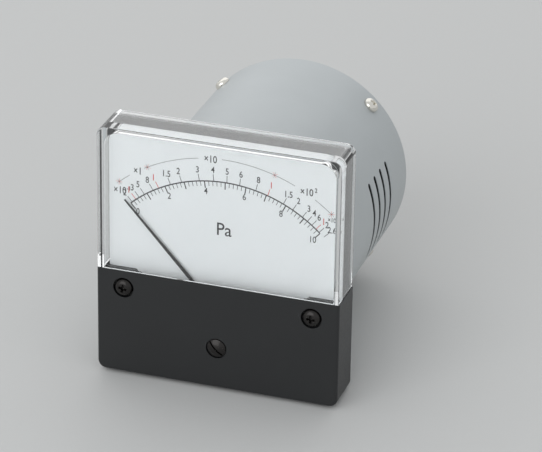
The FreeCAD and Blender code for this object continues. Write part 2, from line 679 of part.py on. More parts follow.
def make_meter_case():
    body = start_body("meter_case")
    wide = cover_half_width - cover_wall + rebate_width - case_gap
    top = half_height - cover_wall + rebate_width - case_gap
    bottom = half_height - lower_side_wall + rebate_width - case_gap
    rim_wide = wide - rebate_width
    rim_top = top - rebate_width
    rim_bottom = bottom - rebate_width
    corner = bezel_corner - cover_wall
    flange_front = -rebate_depth
    cup_back = cup_depth - cup_wall
    pad(body, flange_front, 0.0, draw_box, -wide, wide, -bottom, top, corner + rebate_width, corner + rebate_width)
    pad(body, dial_back, flange_front, draw_box, -rim_wide, rim_wide, -rim_bottom, rim_top, corner, corner)
    pocket(body, dial_back, flange_front, draw_box, rim_wall - rim_wide, rim_wide - rim_wall,
           rim_wall - rim_bottom, rim_top - rim_wall)
    pocket(body, -seat_depth, 0.0, draw_circle, 0.0, 0.0, can_radius + hole_gap)
    pad(body, -seat_depth, cup_depth, draw_box, -cup_half_width - cup_wall, cup_half_width + cup_wall,
        cup_level - cup_half_height - cup_wall, cup_level + cup_half_height + cup_wall, cup_corner, cup_corner)
    inner_corner = cup_corner - cup_wall
    pocket(body, flange_front, cup_back, draw_box, -cup_half_width, cup_half_width,
           cup_level - cup_half_height, cup_level + cup_half_height, inner_corner, inner_corner)
    frame_boss = cup_half_width - pillar_reach + running_gap
    for side in (1, -1):
        spots = [(screw_spread / 2 * side, screw_level, screw_radius, dial_face + running_gap),
                 (dial_screw_spread / 2 * side, -dial_screw_drop, dial_screw_radius, dial_back)]
        for x, z, radius, boss_front in spots:
            pad(body, boss_front, flange_front, draw_circle, x, z, radius + boss_wall)
            pocket(body, boss_front, flange_front - hole_gap, draw_circle, x, z, radius + thread_gap)
        x = pillar_reach * side
        pad(body, rear_bridge_front + bridge_thickness, cup_back, draw_circle, x, cup_level, frame_boss)
        pocket(body, rear_bridge_front + bridge_thickness, cup_back, draw_circle, x, cup_level,
               frame_screw_radius + thread_gap)
        pocket(body, cup_back, cup_depth, draw_circle, terminal_side * side, -terminal_drop,
               screw_radius + thread_gap)
        for height in (1, -1):
            spots = [(stud_spread / 2 * side, stud_spread / 2 * height, stud_root, 0.0),
                     (spacer_spread / 2 * side, spacer_spread / 2 * height, spacer_stud, -seat_depth)]
            for x, z, radius, rear in spots:
                pad(body, rear - insert_depth - boss_floor, flange_front, draw_circle, x, z, radius + boss_wall)
                pocket(body, rear - insert_depth, rear, draw_circle, x, z, radius + thread_gap)
    return body


def make_dial_plate():
    body = start_body("dial_plate")
    step = screw_spread / 2 - screw_radius - boss_wall - dial_gap * 5
    shoulder = ledge_level - dial_gap * 4
    corners = [(-step, -dial_drop), (step, -dial_drop), (step, shoulder), (dial_half_width, shoulder),
               (dial_half_width, dial_top - dial_corner, dial_corner), (dial_half_width - dial_corner, dial_top),
               (dial_corner - dial_half_width, dial_top, dial_corner), (-dial_half_width, dial_top - dial_corner),
               (-dial_half_width, shoulder), (-step, shoulder)]
    pad(body, dial_face, dial_back, draw_outline, corners)
    pocket(body, dial_face, dial_back, draw_circle, 0.0, cup_level, dial_notch)
    for side in (1, -1):
        pocket(body, dial_face, dial_back, draw_circle, dial_screw_spread / 2 * side, -dial_screw_drop,
               dial_screw_radius + dial_gap)
    return body


def make_dial_screws():
    source = screw("dial_screw", dial_screw_head, dial_screw_height, dial_screw_radius, dial_screw_length)
    move(source, dial_screw_spread / 2, dial_face, -dial_screw_drop)
    return left_and_right("dial_screws", source)


def make_pointer_stops():
    source = rod("pointer_stop", pointer_front - pointer_gap, dial_face, stop_radius,
                 stop_reach * sine(stop_angle), cup_level + stop_reach * cosine(stop_angle))
    return left_and_right("pointer_stops", source)


def make_panel_studs():
    source = start_body("panel_stud", stud_spread / 2, 0.0, stud_spread / 2)
    spin(source, [(0.0, -insert_depth), (stud_root, -insert_depth), (stud_root, 0.0), (stud_radius, 0.0),
                  (stud_radius, stud_length), (0.0, stud_length)])
    return four_corners("panel_studs", source)


def make_terminal_studs():
    source = screw("terminal_stud", terminal_head, terminal_head_height, screw_radius, terminal_length)
    move(source, terminal_side, cup_depth - cup_wall, -terminal_drop)
    return left_and_right("terminal_studs", source)


def make_terminal_nuts():
    front = amplifier_setback + board_thickness
    source = nut("terminal_nut", front, front + nut_height, spacer_flat, screw_radius + thread_gap,
                 terminal_side, -terminal_drop)
    return left_and_right("terminal_nuts", source)


# Movement, round the pointer's axis

def make_bridge(label, front, bore, lug):
    body = start_body(label, z=cup_level)
    rear = front + bridge_thickness
    pad(body, front, rear, draw_bar, pillar_reach, bridge_width / 2)
    pad(body, front, rear, draw_circle, 0.0, 0.0, jewel_radius + bridge_ring)
    if lug:
        pad(body, front, rear, draw_box, -bridge_thickness, bridge_thickness, 0.0, spring_reach + bridge_thickness)
        pad(body, front - spring_post, front, draw_circle, 0.0, spring_reach, staff_radius)
    pocket(body, front, rear, draw_circle, 0.0, 0.0, bore)
    for side in (1, -1):
        pocket(body, front, rear, draw_circle, pillar_reach * side, 0.0, frame_screw_radius + thread_gap)
    return body


def make_frame_screws():
    length = frame_screw_end - front_bridge_front
    source = screw("frame_screw", frame_screw_head, frame_screw_height, frame_screw_radius, length)
    move(source, pillar_reach, front_bridge_front, cup_level)
    return left_and_right("frame_screws", source)


def make_sleeves(label, front, rear):
    bore = frame_screw_radius + thread_gap
    source = tube(label[:-1], front, rear, bore + sleeve_wall, bore, pillar_reach, cup_level)
    return left_and_right(label, source)


def make_yoke_ring():
    body = start_body("yoke_ring", z=cup_level)
    ear = frame_screw_radius + thread_gap + sleeve_wall
    pad(body, core_front, core_rear, draw_circle, 0.0, 0.0, yoke_radius)
    for side in (1, -1):
        pad(body, core_front, core_rear, draw_circle, pillar_reach * side, 0.0, ear)
    pocket(body, core_front, core_rear, draw_circle, 0.0, 0.0, yoke_bore)
    strap_spot = (yoke_radius + yoke_bore) / 2
    for side in (1, -1):
        pocket(body, core_front, core_rear, draw_circle, pillar_reach * side, 0.0, frame_screw_radius + thread_gap)
        pocket(body, core_front, core_rear, draw_circle, 0.0, strap_spot * side, strap_screw_radius + thread_gap)
    return body


def make_core_straps():
    strap_spot = (yoke_radius + yoke_bore) / 2
    straps = []
    for front in (core_front - strap_thickness, core_rear):
        body = start_body("core_strap", z=cup_level)
        pad(body, front, front + strap_thickness, draw_bar, strap_spot, strap_width / 2, upright=True)
        for side in (1, -1):
            pocket(body, front, front + strap_thickness, draw_circle, 0.0, strap_spot * side,
                   strap_screw_radius + thread_gap)
        straps.append(body)
    return group("core_straps", *straps)


def make_strap_screws():
    strap_spot = (yoke_radius + yoke_bore) / 2
    screws = []
    for side in (1, -1):
        front = screw("strap_screw", strap_screw_head, strap_screw_height, strap_screw_radius, strap_screw_length)
        move(front, 0.0, core_front - strap_thickness, cup_level + strap_spot * side)
        rear = screw("strap_screw", strap_screw_head, strap_screw_height, strap_screw_radius, strap_screw_length,
                     turned_back)
        move(rear, 0.0, core_rear + strap_thickness, cup_level + strap_spot * side)
        screws += [front, rear]
    return group("strap_screws", *screws)


def make_jewel_screw(label, front, rear, bore_front, bore_rear, slot_front):
    """Slotted screw that carries a staff's tip in its blind bore."""
    body = start_body(label, z=cup_level)
    pad(body, front, rear, draw_circle, 0.0, 0.0, jewel_radius)
    pocket(body, bore_front, bore_rear, draw_circle, 0.0, 0.0, staff_radius + staff_gap)
    pocket(body, slot_front, slot_front + slot_depth, draw_box, -jewel_radius * 2, jewel_radius * 2,
           -slot_width / 2, slot_width / 2)
    return body


def make_jewel_nuts():
    bore = jewel_radius + thread_gap
    rear_face = rear_bridge_front + bridge_thickness
    front = nut("jewel_nut", arm_front - running_gap - jewel_nut_height, arm_front - running_gap, jewel_nut_flat,
                bore, 0.0, cup_level)
    rear = nut("jewel_nut", rear_face, rear_face + jewel_nut_height, jewel_nut_flat, bore, 0.0, cup_level)
    return group("jewel_nuts", front, rear)


def make_hairspring(label, front):
    """Flat spiral of half circles, from the collet out to its post above the axis."""
    inner = collet_radius + spring_strip
    outer = spring_reach - staff_radius - spring_strip
    turns = int(round(float(spring_turns)))
    growth = (float(outer) - float(inner)) / turns
    half = float(spring_strip) / 2
    upper = []
    lower = []
    for step in range(turns * 2):
        radius = float(inner) + growth * (step // 2)
        if step % 2 == 0:
            centre = vector(0, 0)
            angles = (0, 90, 180)
        else:
            centre = vector(growth / 2, 0)
            radius += growth / 2
            angles = (180, 270, 360)
        for offset, edges in ((half, upper), (-half, lower)):
            points = []
            for angle in angles:
                turn = math.radians(angle)
                points.append(centre + vector(math.cos(turn), math.sin(turn)) * (radius + offset))
            edges.append(Part.Arc(*points).toShape())
    start = Part.makeLine(lower[0].Vertexes[0].Point, upper[0].Vertexes[0].Point)
    finish = Part.makeLine(upper[-1].Vertexes[-1].Point, lower[-1].Vertexes[-1].Point)
    wire = Part.Wire(Part.__sortEdges__([start] + upper + [finish] + lower))
    strip = Part.Face(wire).extrude(vector(0, 0, spring_width))
    spring = doc.addObject("Part::Feature", label)
    spring.Label = label
    spring.Shape = strip
    upright = FreeCAD.Rotation(vector(1, 0, 0), 90)
    outer_end_up = FreeCAD.Rotation(vector(0, 0, 1), 90)
    spring.Placement = FreeCAD.Placement(vector(0, front + spring_width, cup_level), upright * outer_end_up)
    return spring


def turn_to_rest(body):
    """Set a moving piece at the pointer's rest angle about the pointer's axis."""
    body.Placement = FreeCAD.Placement(vector(0, 0, cup_level), FreeCAD.Rotation(vector(0, -1, 0), rest_angle))
    bind(body, "Placement.Rotation.Angle", rest_angle)
    move(body, 0.0, 0.0, cup_level)


def draw_loop(sketch, half, front, rear, thickness):
    draw_box(sketch, -half - thickness, half + thickness, front - thickness, rear + thickness,
             thickness * 2, thickness * 2)
    draw_box(sketch, -half, half, front, rear, thickness, thickness)


def make_coil_former():
    body = start_body("coil_former")
    turn_to_rest(body)
    pad_across(body, "XY_Plane", former_width, draw_loop, core_radius + coil_gap, former_front, former_rear,
               former_thickness)
    return body


def make_coil_winding():
    body = start_body("coil_winding")
    turn_to_rest(body)
    half = core_radius + coil_gap + former_thickness
    front = former_front - former_thickness
    rear = former_rear + former_thickness
    pad_across(body, "XY_Plane", winding_width, draw_box, -half - winding_thickness, half + winding_thickness,
               front - winding_thickness, rear + winding_thickness, former_thickness * 3, former_thickness * 3)
    sketch = start_sketch(body, "XY_Plane")
    draw_box(sketch, -half, half, front, rear, former_thickness * 2, former_thickness * 2)
    opening = add_feature(body, "Pocket", sketch)
    opening.SideType = "Symmetric"
    bind(opening, "Length", winding_width)
    return body


def make_coil_staffs():
    tip = staff_radius * 1.5
    front_end = front_bridge_front
    rear_end = rear_bridge_front + staff_radius
    front = start_body("front_staff")
    turn_to_rest(front)
    spin(front, [(0.0, front_end), (staff_radius, front_end + tip), (staff_radius, winding_front - foot_thickness),
                 (foot_radius, winding_front - foot_thickness), (foot_radius, winding_front),
                 (0.0, winding_front)])
    rear = start_body("rear_staff")
    turn_to_rest(rear)
    foot_rear = winding_rear + foot_thickness
    spin(rear, [(0.0, winding_rear), (foot_radius, winding_rear), (foot_radius, foot_rear),
                (collet_radius, foot_rear), (collet_radius, foot_rear + collet_length),
                (staff_radius, foot_rear + collet_length), (staff_radius, rear_end - tip), (0.0, rear_end)])
    return group("coil_staffs", front, rear)


def make_pointer():
    body = start_body("pointer")
    turn_to_rest(body)
    root = pointer_root / 2
    tip = pointer_tip / 2
    strip = arm_strip / 2
    waist = pointer_tail / 3
    pad(body, pointer_front, pointer_rear, draw_outline,
        [(-strip, -pointer_tail), (strip, -pointer_tail), (strip, -waist), (root, 0.0), (tip, pointer_length),
         (-tip, pointer_length), (-root, 0.0), (-strip, -waist)])
    pad(body, pointer_front, pointer_rear, draw_box, -pointer_arm, pointer_arm, -strip, strip)
    pad(body, pointer_front - hub_step, pointer_rear + hub_step, draw_circle, 0.0, 0.0, hub_radius)
    collet_front = bridge_rear_face + dial_gap
    pad(body, collet_front, pointer_front - hub_step, draw_circle, 0.0, 0.0, collet_radius)
    pocket(body, collet_front, pointer_rear + hub_step, draw_circle, 0.0, 0.0, staff_radius + thread_gap)
    return body


def make_balance_weights():
    """Tail weight and two arm weights, threaded over the pointer's strips."""
    middle = (pointer_front + pointer_rear) / 2
    bore = arm_strip / 2 + thread_gap
    weights = []
    spots = [("tail_weight", tail_weight_radius, tail_weight_length, 0.0,
              tail_weight_length / 2 - pointer_tail + dial_gap),
             ("arm_weight", arm_weight_radius, arm_weight_length, pointer_arm - arm_weight_length / 2 - dial_gap, 0.0),
             ("arm_weight", arm_weight_radius, arm_weight_length, arm_weight_length / 2 - pointer_arm + dial_gap,
              0.0)]
    for name, radius, length, x, z in spots:
        body = start_body(name)
        turn_to_rest(body)
        upright = name == "tail_weight"
        role = "XY_Plane" if upright else "YZ_Plane"
        place = (x, middle) if upright else (middle, z)
        sketch = start_sketch(body, role, z if upright else x)
        draw_circle(sketch, place[0], place[1], radius)
        draw_circle(sketch, place[0], place[1], bore)
        weight = add_feature(body, "Pad", sketch)
        weight.SideType = "Symmetric"
        bind(weight, "Length", length)
        weights.append(body)
    return group("balance_weights", *weights)


# Zero adjuster and the fork that it swings

def make_zero_adjuster():
    body = start_body("zero_adjuster", z=-adjuster_drop)
    dome = adjuster_dome + seam_gap
    face_edge = front_face + seam_gap
    head_back = front_face + adjuster_sink - running_gap
    shaft_end = lower_inside + adjuster_boss + ring_thickness + running_gap * 2
    spin(body, [(0.0, face_edge - dome, (adjuster_head * adjuster_head + dome * dome) / 2 / dome),
                (adjuster_head, face_edge), (adjuster_head, head_back), (adjuster_shaft, head_back),
                (adjuster_shaft, shaft_end), (0.0, shaft_end)])
    pad(body, shaft_end, arm_rear + running_gap, draw_circle, 0.0, -crank_reach, crank_radius)
    sketch = start_sketch(body, "XZ_Plane", dome - face_edge)
    half = slot_width / 2
    reach = adjuster_head * 2
    across = cosine(45)
    draw_outline(sketch, [((half - reach) * across, (half + reach) * across),
                          (-(half + reach) * across, (reach - half) * across),
                          ((reach - half) * across, -(half + reach) * across),
                          ((reach + half) * across, (half - reach) * across)])
    slot = add_feature(body, "Pocket", sketch)
    bind(slot, "Length", adjuster_dome + slot_depth)
    return body


def make_adjuster_ring():
    front = lower_inside + adjuster_boss + running_gap
    return tube("adjuster_ring", front, front + ring_thickness, adjuster_shaft + ring_width,
                adjuster_shaft + thread_gap / 2, 0.0, -adjuster_drop)


def make_zero_arm():
    body = start_body("zero_arm", z=cup_level)
    pin_level = -(adjuster_drop - pivot_drop + crank_reach)
    slot_half = crank_radius + running_gap
    fork_half = slot_half + fork_wall
    fork_end = pin_level - crank_reach
    slot_top = pin_level + crank_reach
    fork_top = slot_top + fork_wall
    neck = fork_half / 2
    pad(body, arm_front, arm_rear, draw_outline,
        [(slot_half, fork_end), (fork_half, fork_end), (fork_half, fork_top), (neck, fork_top + fork_wall),
         (neck, spring_reach + neck), (-neck, spring_reach + neck), (-neck, fork_top + fork_wall),
         (-fork_half, fork_top), (-fork_half, fork_end), (-slot_half, fork_end), (-slot_half, slot_top),
         (slot_half, slot_top)])
    pad(body, arm_front, arm_rear, draw_circle, 0.0, 0.0, jewel_radius + bridge_ring)
    pocket(body, arm_front, arm_rear, draw_circle, 0.0, 0.0, jewel_radius + running_gap)
    pad(body, arm_rear, front_spring_front + spring_width, draw_circle, 0.0, spring_reach, staff_radius)
    return body


# Can and what it holds

def radial_holes(body, setback, radius):
    """Four holes that point at the Y axis, cut by two rods across the whole round."""
    for side in (1, -1):
        sketch = start_sketch(body, "XY_Plane")
        tilt = FreeCAD.Rotation(vector(0, side, 0), can_screw_angle)
        sketch.AttachmentOffset = FreeCAD.Placement(vector(0, 0, 0), tilt)
        bind(sketch, "AttachmentOffset.Rotation.Angle", can_screw_angle)
        draw_circle(sketch, 0.0, setback, radius)
        hole = add_feature(body, "Pocket", sketch)
        hole.SideType = "Symmetric"
        hole.Type = "ThroughAll"


def make_can():
    body = start_body("can")
    spin(body, [(can_bore, -seat_depth), (can_radius, -seat_depth), (can_radius, can_length),
                (can_bore, can_length)])
    sketch = start_sketch(body, "YZ_Plane")
    round_end = vent_width / 2
    draw_bar(sketch, can_radius * sine(vent_angle) - round_end, round_end, x=vent_first, upright=True)
    vent = add_feature(body, "Pocket", sketch)
    vent.SideType = "Symmetric"
    vent.Type = "ThroughAll"
    row = body.newObject("PartDesign::LinearPattern", "vent_row")
    row.Originals = [vent]
    row.Direction = (origin_part(body, "Y_Axis"), [""])
    bind(row, "Length", vent_pitch * (vent_count - 1))
    row.Occurrences = vent_count
    body.Tip = row
    radial_holes(body, can_screw_setback, screw_radius + hole_gap)
    return body


def make_can_screws():
    side = sine(can_screw_angle)
    rise = cosine(can_screw_angle)
    inward = FreeCAD.Rotation(vector(0, 1, 0), vector(-side, 0.0, -rise))
    source = screw("can_screw", head_radius, head_height, screw_radius, can_screw_length, inward)
    move(source, can_radius * side, can_screw_setback, can_radius * rise)
    return four_corners("can_screws", source)


def make_rear_plate():
    body = start_body("rear_plate")
    inner = plate_radius - plate_thickness
    flange_front = plate_setback - plate_flange
    spin(body, [(inner, flange_front), (plate_radius, flange_front),
                (plate_radius, plate_face - plate_bend, plate_bend), (plate_radius - plate_bend, plate_face),
                (0.0, plate_face), (0.0, plate_setback), (inner, plate_setback)])
    radial_holes(body, can_screw_setback, screw_radius + thread_gap)
    holes = [(socket_side, socket_rise, socket_thread + hole_gap)]
    for side in (1, -1):
        holes.append((-pot_side, pot_rise + pot_pitch / 2 * side, pot_bush + hole_gap))
        holes.append((ear_centre * side, -block_drop, dial_screw_radius + hole_gap))
        for height in (1, -1):
            holes.append((spacer_spread / 2 * side, spacer_spread / 2 * height, screw_radius + hole_gap))
    for x, z, radius in holes:
        pocket(body, plate_setback, plate_face, draw_circle, x, z, radius)
    return body


def make_plate_screws():
    source = screw("plate_screw", head_radius, head_height, screw_radius, plate_screw_length, turned_back)
    move(source, spacer_spread / 2, plate_face, spacer_spread / 2)
    return four_corners("plate_screws", source)


def make_spacers(label, front, rear):
    """Hexagonal spacers, each with a stud at its front end and a bore at its rear end."""
    body = start_body(label[:-1], spacer_spread / 2, 0.0, spacer_spread / 2)
    pad(body, front, rear, draw_outline, hex_corners(spacer_flat))
    pad(body, front - spacer_engage, front, draw_circle, 0.0, 0.0, spacer_stud)
    pocket(body, rear - spacer_bore, rear, draw_circle, 0.0, 0.0, screw_radius + thread_gap)
    return four_corners(label, body)


def make_board(label, front, holes):
    body = start_body(label)
    rear = front + board_thickness
    pad(body, front, rear, draw_circle, 0.0, 0.0, board_radius)
    spots = list(holes)
    for side in (1, -1):
        for height in (1, -1):
            spots.append((spacer_spread / 2 * side, spacer_spread / 2 * height))
    for x, z in spots:
        pocket(body, front, rear, draw_circle, x, z, screw_radius + hole_gap)
    return body


def make_chips():
    front = amplifier_setback + board_thickness
    chips = []
    for x, z in ((chip_side, chip_rise), (-chip_side, chip_rise), (0.0, -chip_drop)):
        body = start_body("chip", x, 0.0, z)
        pad(body, front, front + chip_height, draw_box, -chip_length / 2, chip_length / 2, -chip_width / 2,
            chip_width / 2)
        chips.append(body)
    return group("amplifier_chips", *chips)


def make_transformer_core():
    body = start_body("transformer_core", z=transformer_rise)
    rear = power_setback - (coil_deep - core_stack) / 2
    front = rear - core_stack
    half_wide = core_wide / 2
    half_tall = core_tall / 2
    pad(body, front, rear, draw_box, -half_wide, half_wide, -half_tall, half_tall)
    pocket(body, front, rear, draw_box, core_limb, half_wide - core_limb, core_limb - half_tall,
           half_tall - core_limb)
    pocket(body, front, rear, draw_box, core_limb - half_wide, -core_limb, core_limb - half_tall,
           half_tall - core_limb)
    return body


def make_transformer_coil():
    body = start_body("transformer_coil", z=transformer_rise)
    height = core_tall - core_limb * 2 - hole_gap * 2
    middle = power_setback - coil_deep / 2
    bore_wide = core_limb + thread_gap
    bore_deep = core_stack / 2 + thread_gap
    pad_across(body, "XY_Plane", height, draw_box, -coil_wide / 2, coil_wide / 2, power_setback - coil_deep,
               power_setback)
    sketch = start_sketch(body, "XY_Plane")
    draw_box(sketch, -bore_wide, bore_wide, middle - bore_deep, middle + bore_deep)
    limb_way = add_feature(body, "Pocket", sketch)
    limb_way.SideType = "Symmetric"
    bind(limb_way, "Length", height)
    return body


def make_capacitors():
    members = []
    spots = ((capacitor_side, -capacitor_drop), (-capacitor_side, -capacitor_drop), (0.0, -capacitor_low))
    for x, z in spots:
        members.append(rod("capacitor", power_setback - capacitor_height, power_setback, capacitor_radius, x, z))
    return group("capacitors", *members)


def make_regulator():
    body = start_body("regulator", z=regulator_rise)
    foot = power_setback + board_thickness
    top = foot + regulator_body
    pad_across(body, "YZ_Plane", regulator_width, draw_outline,
               [(foot, 0.0), (top + tab_height, 0.0), (top + tab_height, tab_thickness), (top, tab_thickness),
                (top, regulator_thickness), (foot, regulator_thickness)])
    return body


# Rear fittings

def make_gauge_socket():
    body = start_body("gauge_socket", socket_side, 0.0, socket_rise)
    front = plate_setback - socket_tail
    flange_rear = plate_face + socket_flange_height
    rear = plate_face + socket_reach
    seat = socket_insert_radius + thread_gap
    spin(body, [(seat, front), (socket_thread, front), (socket_thread, plate_face), (socket_flange, plate_face),
                (socket_flange, flange_rear), (socket_radius, flange_rear), (socket_radius, rear),
                (socket_bore, rear), (socket_bore, rear - socket_depth), (seat, rear - socket_depth)])
    return body


def make_socket_insert():
    body = start_body("socket_insert", socket_side, 0.0, socket_rise)
    rear = plate_face + socket_reach - socket_depth
    pad(body, plate_setback - socket_tail, rear, draw_circle, 0.0, 0.0, socket_insert_radius)
    hole = pocket(body, rear - contact_depth, rear, draw_circle, 0.0, contact_circle, contact_radius)
    ring = body.newObject("PartDesign::PolarPattern", "contact_ring")
    ring.Originals = [hole]
    ring.Axis = (origin_part(body, "Y_Axis"), [""])
    ring.Angle = 360
    ring.Occurrences = contact_count
    body.Tip = ring
    return body


def make_terminal_block():
    body = start_body("terminal_block", z=-block_drop)
    wide = block_width / 2
    high = block_height / 2
    rear = plate_face + block_base
    pad(body, plate_face, rear, draw_box, -wide, wide, -high, high)
    first = -pole_span / 2
    for index in range(terminal_count + 1):
        x = first + pole_pitch * index
        pad(body, plate_face, plate_face + barrier_depth, draw_box, x - barrier_thickness / 2,
            x + barrier_thickness / 2, -high, high)
    for index in range(terminal_count):
        pocket(body, rear - terminal_screw_length - hole_gap, rear, draw_circle,
               first + pole_pitch * (index + 0.5), 0.0, screw_radius + thread_gap)
    ear = (pole_span + barrier_thickness) / 2
    for side in (1, -1):
        edges = sorted((ear * side, (wide + hole_gap) * side), key=float)
        pocket(body, plate_face + ear_thickness, rear, draw_box, edges[0], edges[1], -high - hole_gap,
               high + hole_gap)
        pocket(body, plate_face, plate_face + ear_thickness, draw_circle, ear_centre * side, 0.0,
               dial_screw_radius + hole_gap)
    return body


def make_terminal_screws():
    members = []
    for index in range(terminal_count):
        member = screw("terminal_screw", terminal_screw_head, terminal_screw_height, screw_radius,
                       terminal_screw_length, turned_back)
        move(member, pole_pitch * (index + 0.5) - pole_span / 2, plate_face + block_base, -block_drop)
        members.append(member)
    return group("terminal_screws", *members)


def make_block_screws():
    source = screw("block_screw", dial_screw_head, dial_screw_height, dial_screw_radius,
                   ear_thickness + plate_thickness + dial_screw_radius, turned_back)
    move(source, ear_centre, plate_face + ear_thickness, -block_drop)
    return left_and_right("block_screws", source)


def make_pot_bodies():
    bush_rear = plate_face + pot_bush_length
    bore = pot_shaft + running_gap
    bore_front = plate_setback - pot_shaft_root - running_gap
    members = []
    for side in (1, -1):
        body = start_body("pot_body", -pot_side, 0.0, pot_rise + pot_pitch / 2 * side)
        front = plate_setback - pot_depth
        spin(body, [(0.0, front), (pot_radius, front), (pot_radius, plate_setback), (pot_bush, plate_setback),
                    (pot_bush, bush_rear), (bore, bush_rear), (bore, bore_front), (0.0, bore_front)])
        members.append(body)
    return group("pot_bodies", *members)


def make_pot_nuts():
    members = []
    for side in (1, -1):
        members.append(nut("pot_nut", plate_face, plate_face + pot_nut_height, pot_nut_flat, pot_bush + thread_gap,
                           -pot_side, pot_rise + pot_pitch / 2 * side))
    return group("pot_nuts", *members)


def make_pot_shaft(label, side):
    rear = plate_face + pot_bush_length + pot_shaft_end
    body = rod(label, plate_setback - pot_shaft_root, rear, pot_shaft, -pot_side, pot_rise + pot_pitch / 2 * side)
    pocket(body, rear - slot_depth, rear, draw_box, -pot_shaft * 2, pot_shaft * 2, -slot_width / 2, slot_width / 2)
    return body


# Every piece, then the checks and the files

nodes = [
    make_cover(),
    make_lower_panel(),
    make_front_screws(),
    make_meter_case(),
    make_dial_plate(),
    make_dial_screws(),
    make_pointer_stops(),
    make_panel_studs(),
    make_terminal_studs(),
    make_terminal_nuts(),
    make_bridge("front_bridge", front_bridge_front, jewel_radius + thread_gap, False),
    make_bridge("rear_bridge", rear_bridge_front, jewel_radius + thread_gap, True),
    make_frame_screws(),
    make_sleeves("front_sleeves", bridge_rear_face, core_front),
    make_sleeves("rear_sleeves", core_rear, rear_bridge_front),
    make_yoke_ring(),
    rod("magnet_core", core_front, core_rear, core_radius, 0.0, cup_level),
    make_core_straps(),
    make_strap_screws(),
    make_jewel_screw("front_jewel_screw", front_jewel_front, bridge_rear_face, front_bridge_front - hole_gap,
                     bridge_rear_face, front_jewel_front),
    make_jewel_screw("rear_jewel_screw", rear_jewel_front, rear_jewel_rear, rear_jewel_front,
                     rear_bridge_front + staff_radius * 2, rear_jewel_rear - slot_depth),
    make_jewel_nuts(),
    make_hairspring("front_spring", front_spring_front),
    make_hairspring("rear_spring", rear_spring_front),
    make_coil_former(),
    make_coil_winding(),
    make_coil_staffs(),
    make_pointer(),
    make_balance_weights(),
    make_zero_adjuster(),
    make_adjuster_ring(),
    make_zero_arm(),
    make_can(),
    make_can_screws(),
    make_rear_plate(),
    make_plate_screws(),
    make_spacers("front_spacers", -seat_depth, amplifier_setback),
    make_spacers("middle_spacers", amplifier_setback + board_thickness, power_setback),
    make_spacers("rear_spacers", power_setback + board_thickness, plate_setback),
    make_board("amplifier_board", amplifier_setback,
               [(terminal_side, -terminal_drop), (-terminal_side, -terminal_drop)]),
    make_chips(),
    make_board("power_board", power_setback, []),
    make_transformer_core(),
    make_transformer_coil(),
    make_capacitors(),
    make_regulator(),
    make_gauge_socket(),
    make_socket_insert(),
    nut("socket_nut", plate_setback - socket_nut_height, plate_setback, socket_nut_flat, socket_thread + thread_gap,
        socket_side, socket_rise),
    make_terminal_block(),
    make_terminal_screws(),
    make_block_screws(),
    make_pot_bodies(),
    make_pot_nuts(),
    make_pot_shaft("zero_pot_shaft", 1),
    make_pot_shaft("span_pot_shaft", -1),
]

doc.recompute()
least_cut = 0.001
for item in doc.Objects:
    if "Invalid" in item.State or "Error" in item.State:
        raise RuntimeError("failed: " + item.Label)
    if item.TypeId == "PartDesign::Pocket" and item.Shape.Volume > item.BaseFeature.Shape.Volume - least_cut:
        raise RuntimeError("cuts nothing: " + item.Label)
os.makedirs("parts", exist_ok=True)
for node in nodes:
    if node.Shape.isNull() or not node.Shape.isValid():
        raise RuntimeError("no valid shape: " + node.Label)
    print("{:20s} {:2d} solids {:10.2f} mm3".format(node.Label, len(node.Shape.Solids), node.Shape.Volume))
    node.Shape.exportStep("parts/" + node.Label + ".step")
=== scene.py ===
import json
import math

import bmesh
import bpy
from mathutils import Matrix, Vector


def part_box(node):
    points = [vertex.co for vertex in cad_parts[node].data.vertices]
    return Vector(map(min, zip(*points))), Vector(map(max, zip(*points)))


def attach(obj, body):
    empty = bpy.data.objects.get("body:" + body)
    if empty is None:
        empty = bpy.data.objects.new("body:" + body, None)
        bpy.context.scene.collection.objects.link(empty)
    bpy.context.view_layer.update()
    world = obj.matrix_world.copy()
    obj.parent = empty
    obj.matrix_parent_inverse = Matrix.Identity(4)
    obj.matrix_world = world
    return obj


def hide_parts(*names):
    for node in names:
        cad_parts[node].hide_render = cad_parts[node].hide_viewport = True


# Square panel meter of a vacuum gauge: clear cover, black lower panel, white dial, and a grey can behind.
# Lengths in the dictionaries are millimetres and angles are degrees.

mm = 0.001
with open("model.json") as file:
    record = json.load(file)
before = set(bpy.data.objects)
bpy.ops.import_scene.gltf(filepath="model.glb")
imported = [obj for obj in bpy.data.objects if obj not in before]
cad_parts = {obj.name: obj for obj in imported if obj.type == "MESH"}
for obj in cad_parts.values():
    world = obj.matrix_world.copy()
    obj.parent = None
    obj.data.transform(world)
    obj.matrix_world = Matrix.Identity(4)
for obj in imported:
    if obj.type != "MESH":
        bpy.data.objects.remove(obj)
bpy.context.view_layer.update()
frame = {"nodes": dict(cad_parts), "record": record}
scene = bpy.context.scene
jointPlace = {joint["name"]: Vector(joint["pos_m"]) for joint in frame["record"]["behaviour"]["joints"]}
pointerAxis = jointPlace["pointer_turn"]


def nodeBox(node):  # lowest and highest corner of a node, in millimetres
    low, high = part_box(node)
    return Vector(low) / mm, Vector(high) / mm


coverLow, coverHigh = nodeBox("cover")
dialLow = nodeBox("dial_plate")[0]
print("frame loaded")


# Mesh tools

def block(low, high):
    bm = bmesh.new()
    bmesh.ops.create_cube(bm, size=1.0)
    bmesh.ops.scale(bm, vec=[(b - a) * mm for a, b in zip(low, high)], verts=bm.verts)
    bmesh.ops.translate(bm, vec=[(a + b) / 2 * mm for a, b in zip(low, high)], verts=bm.verts)
    return bm


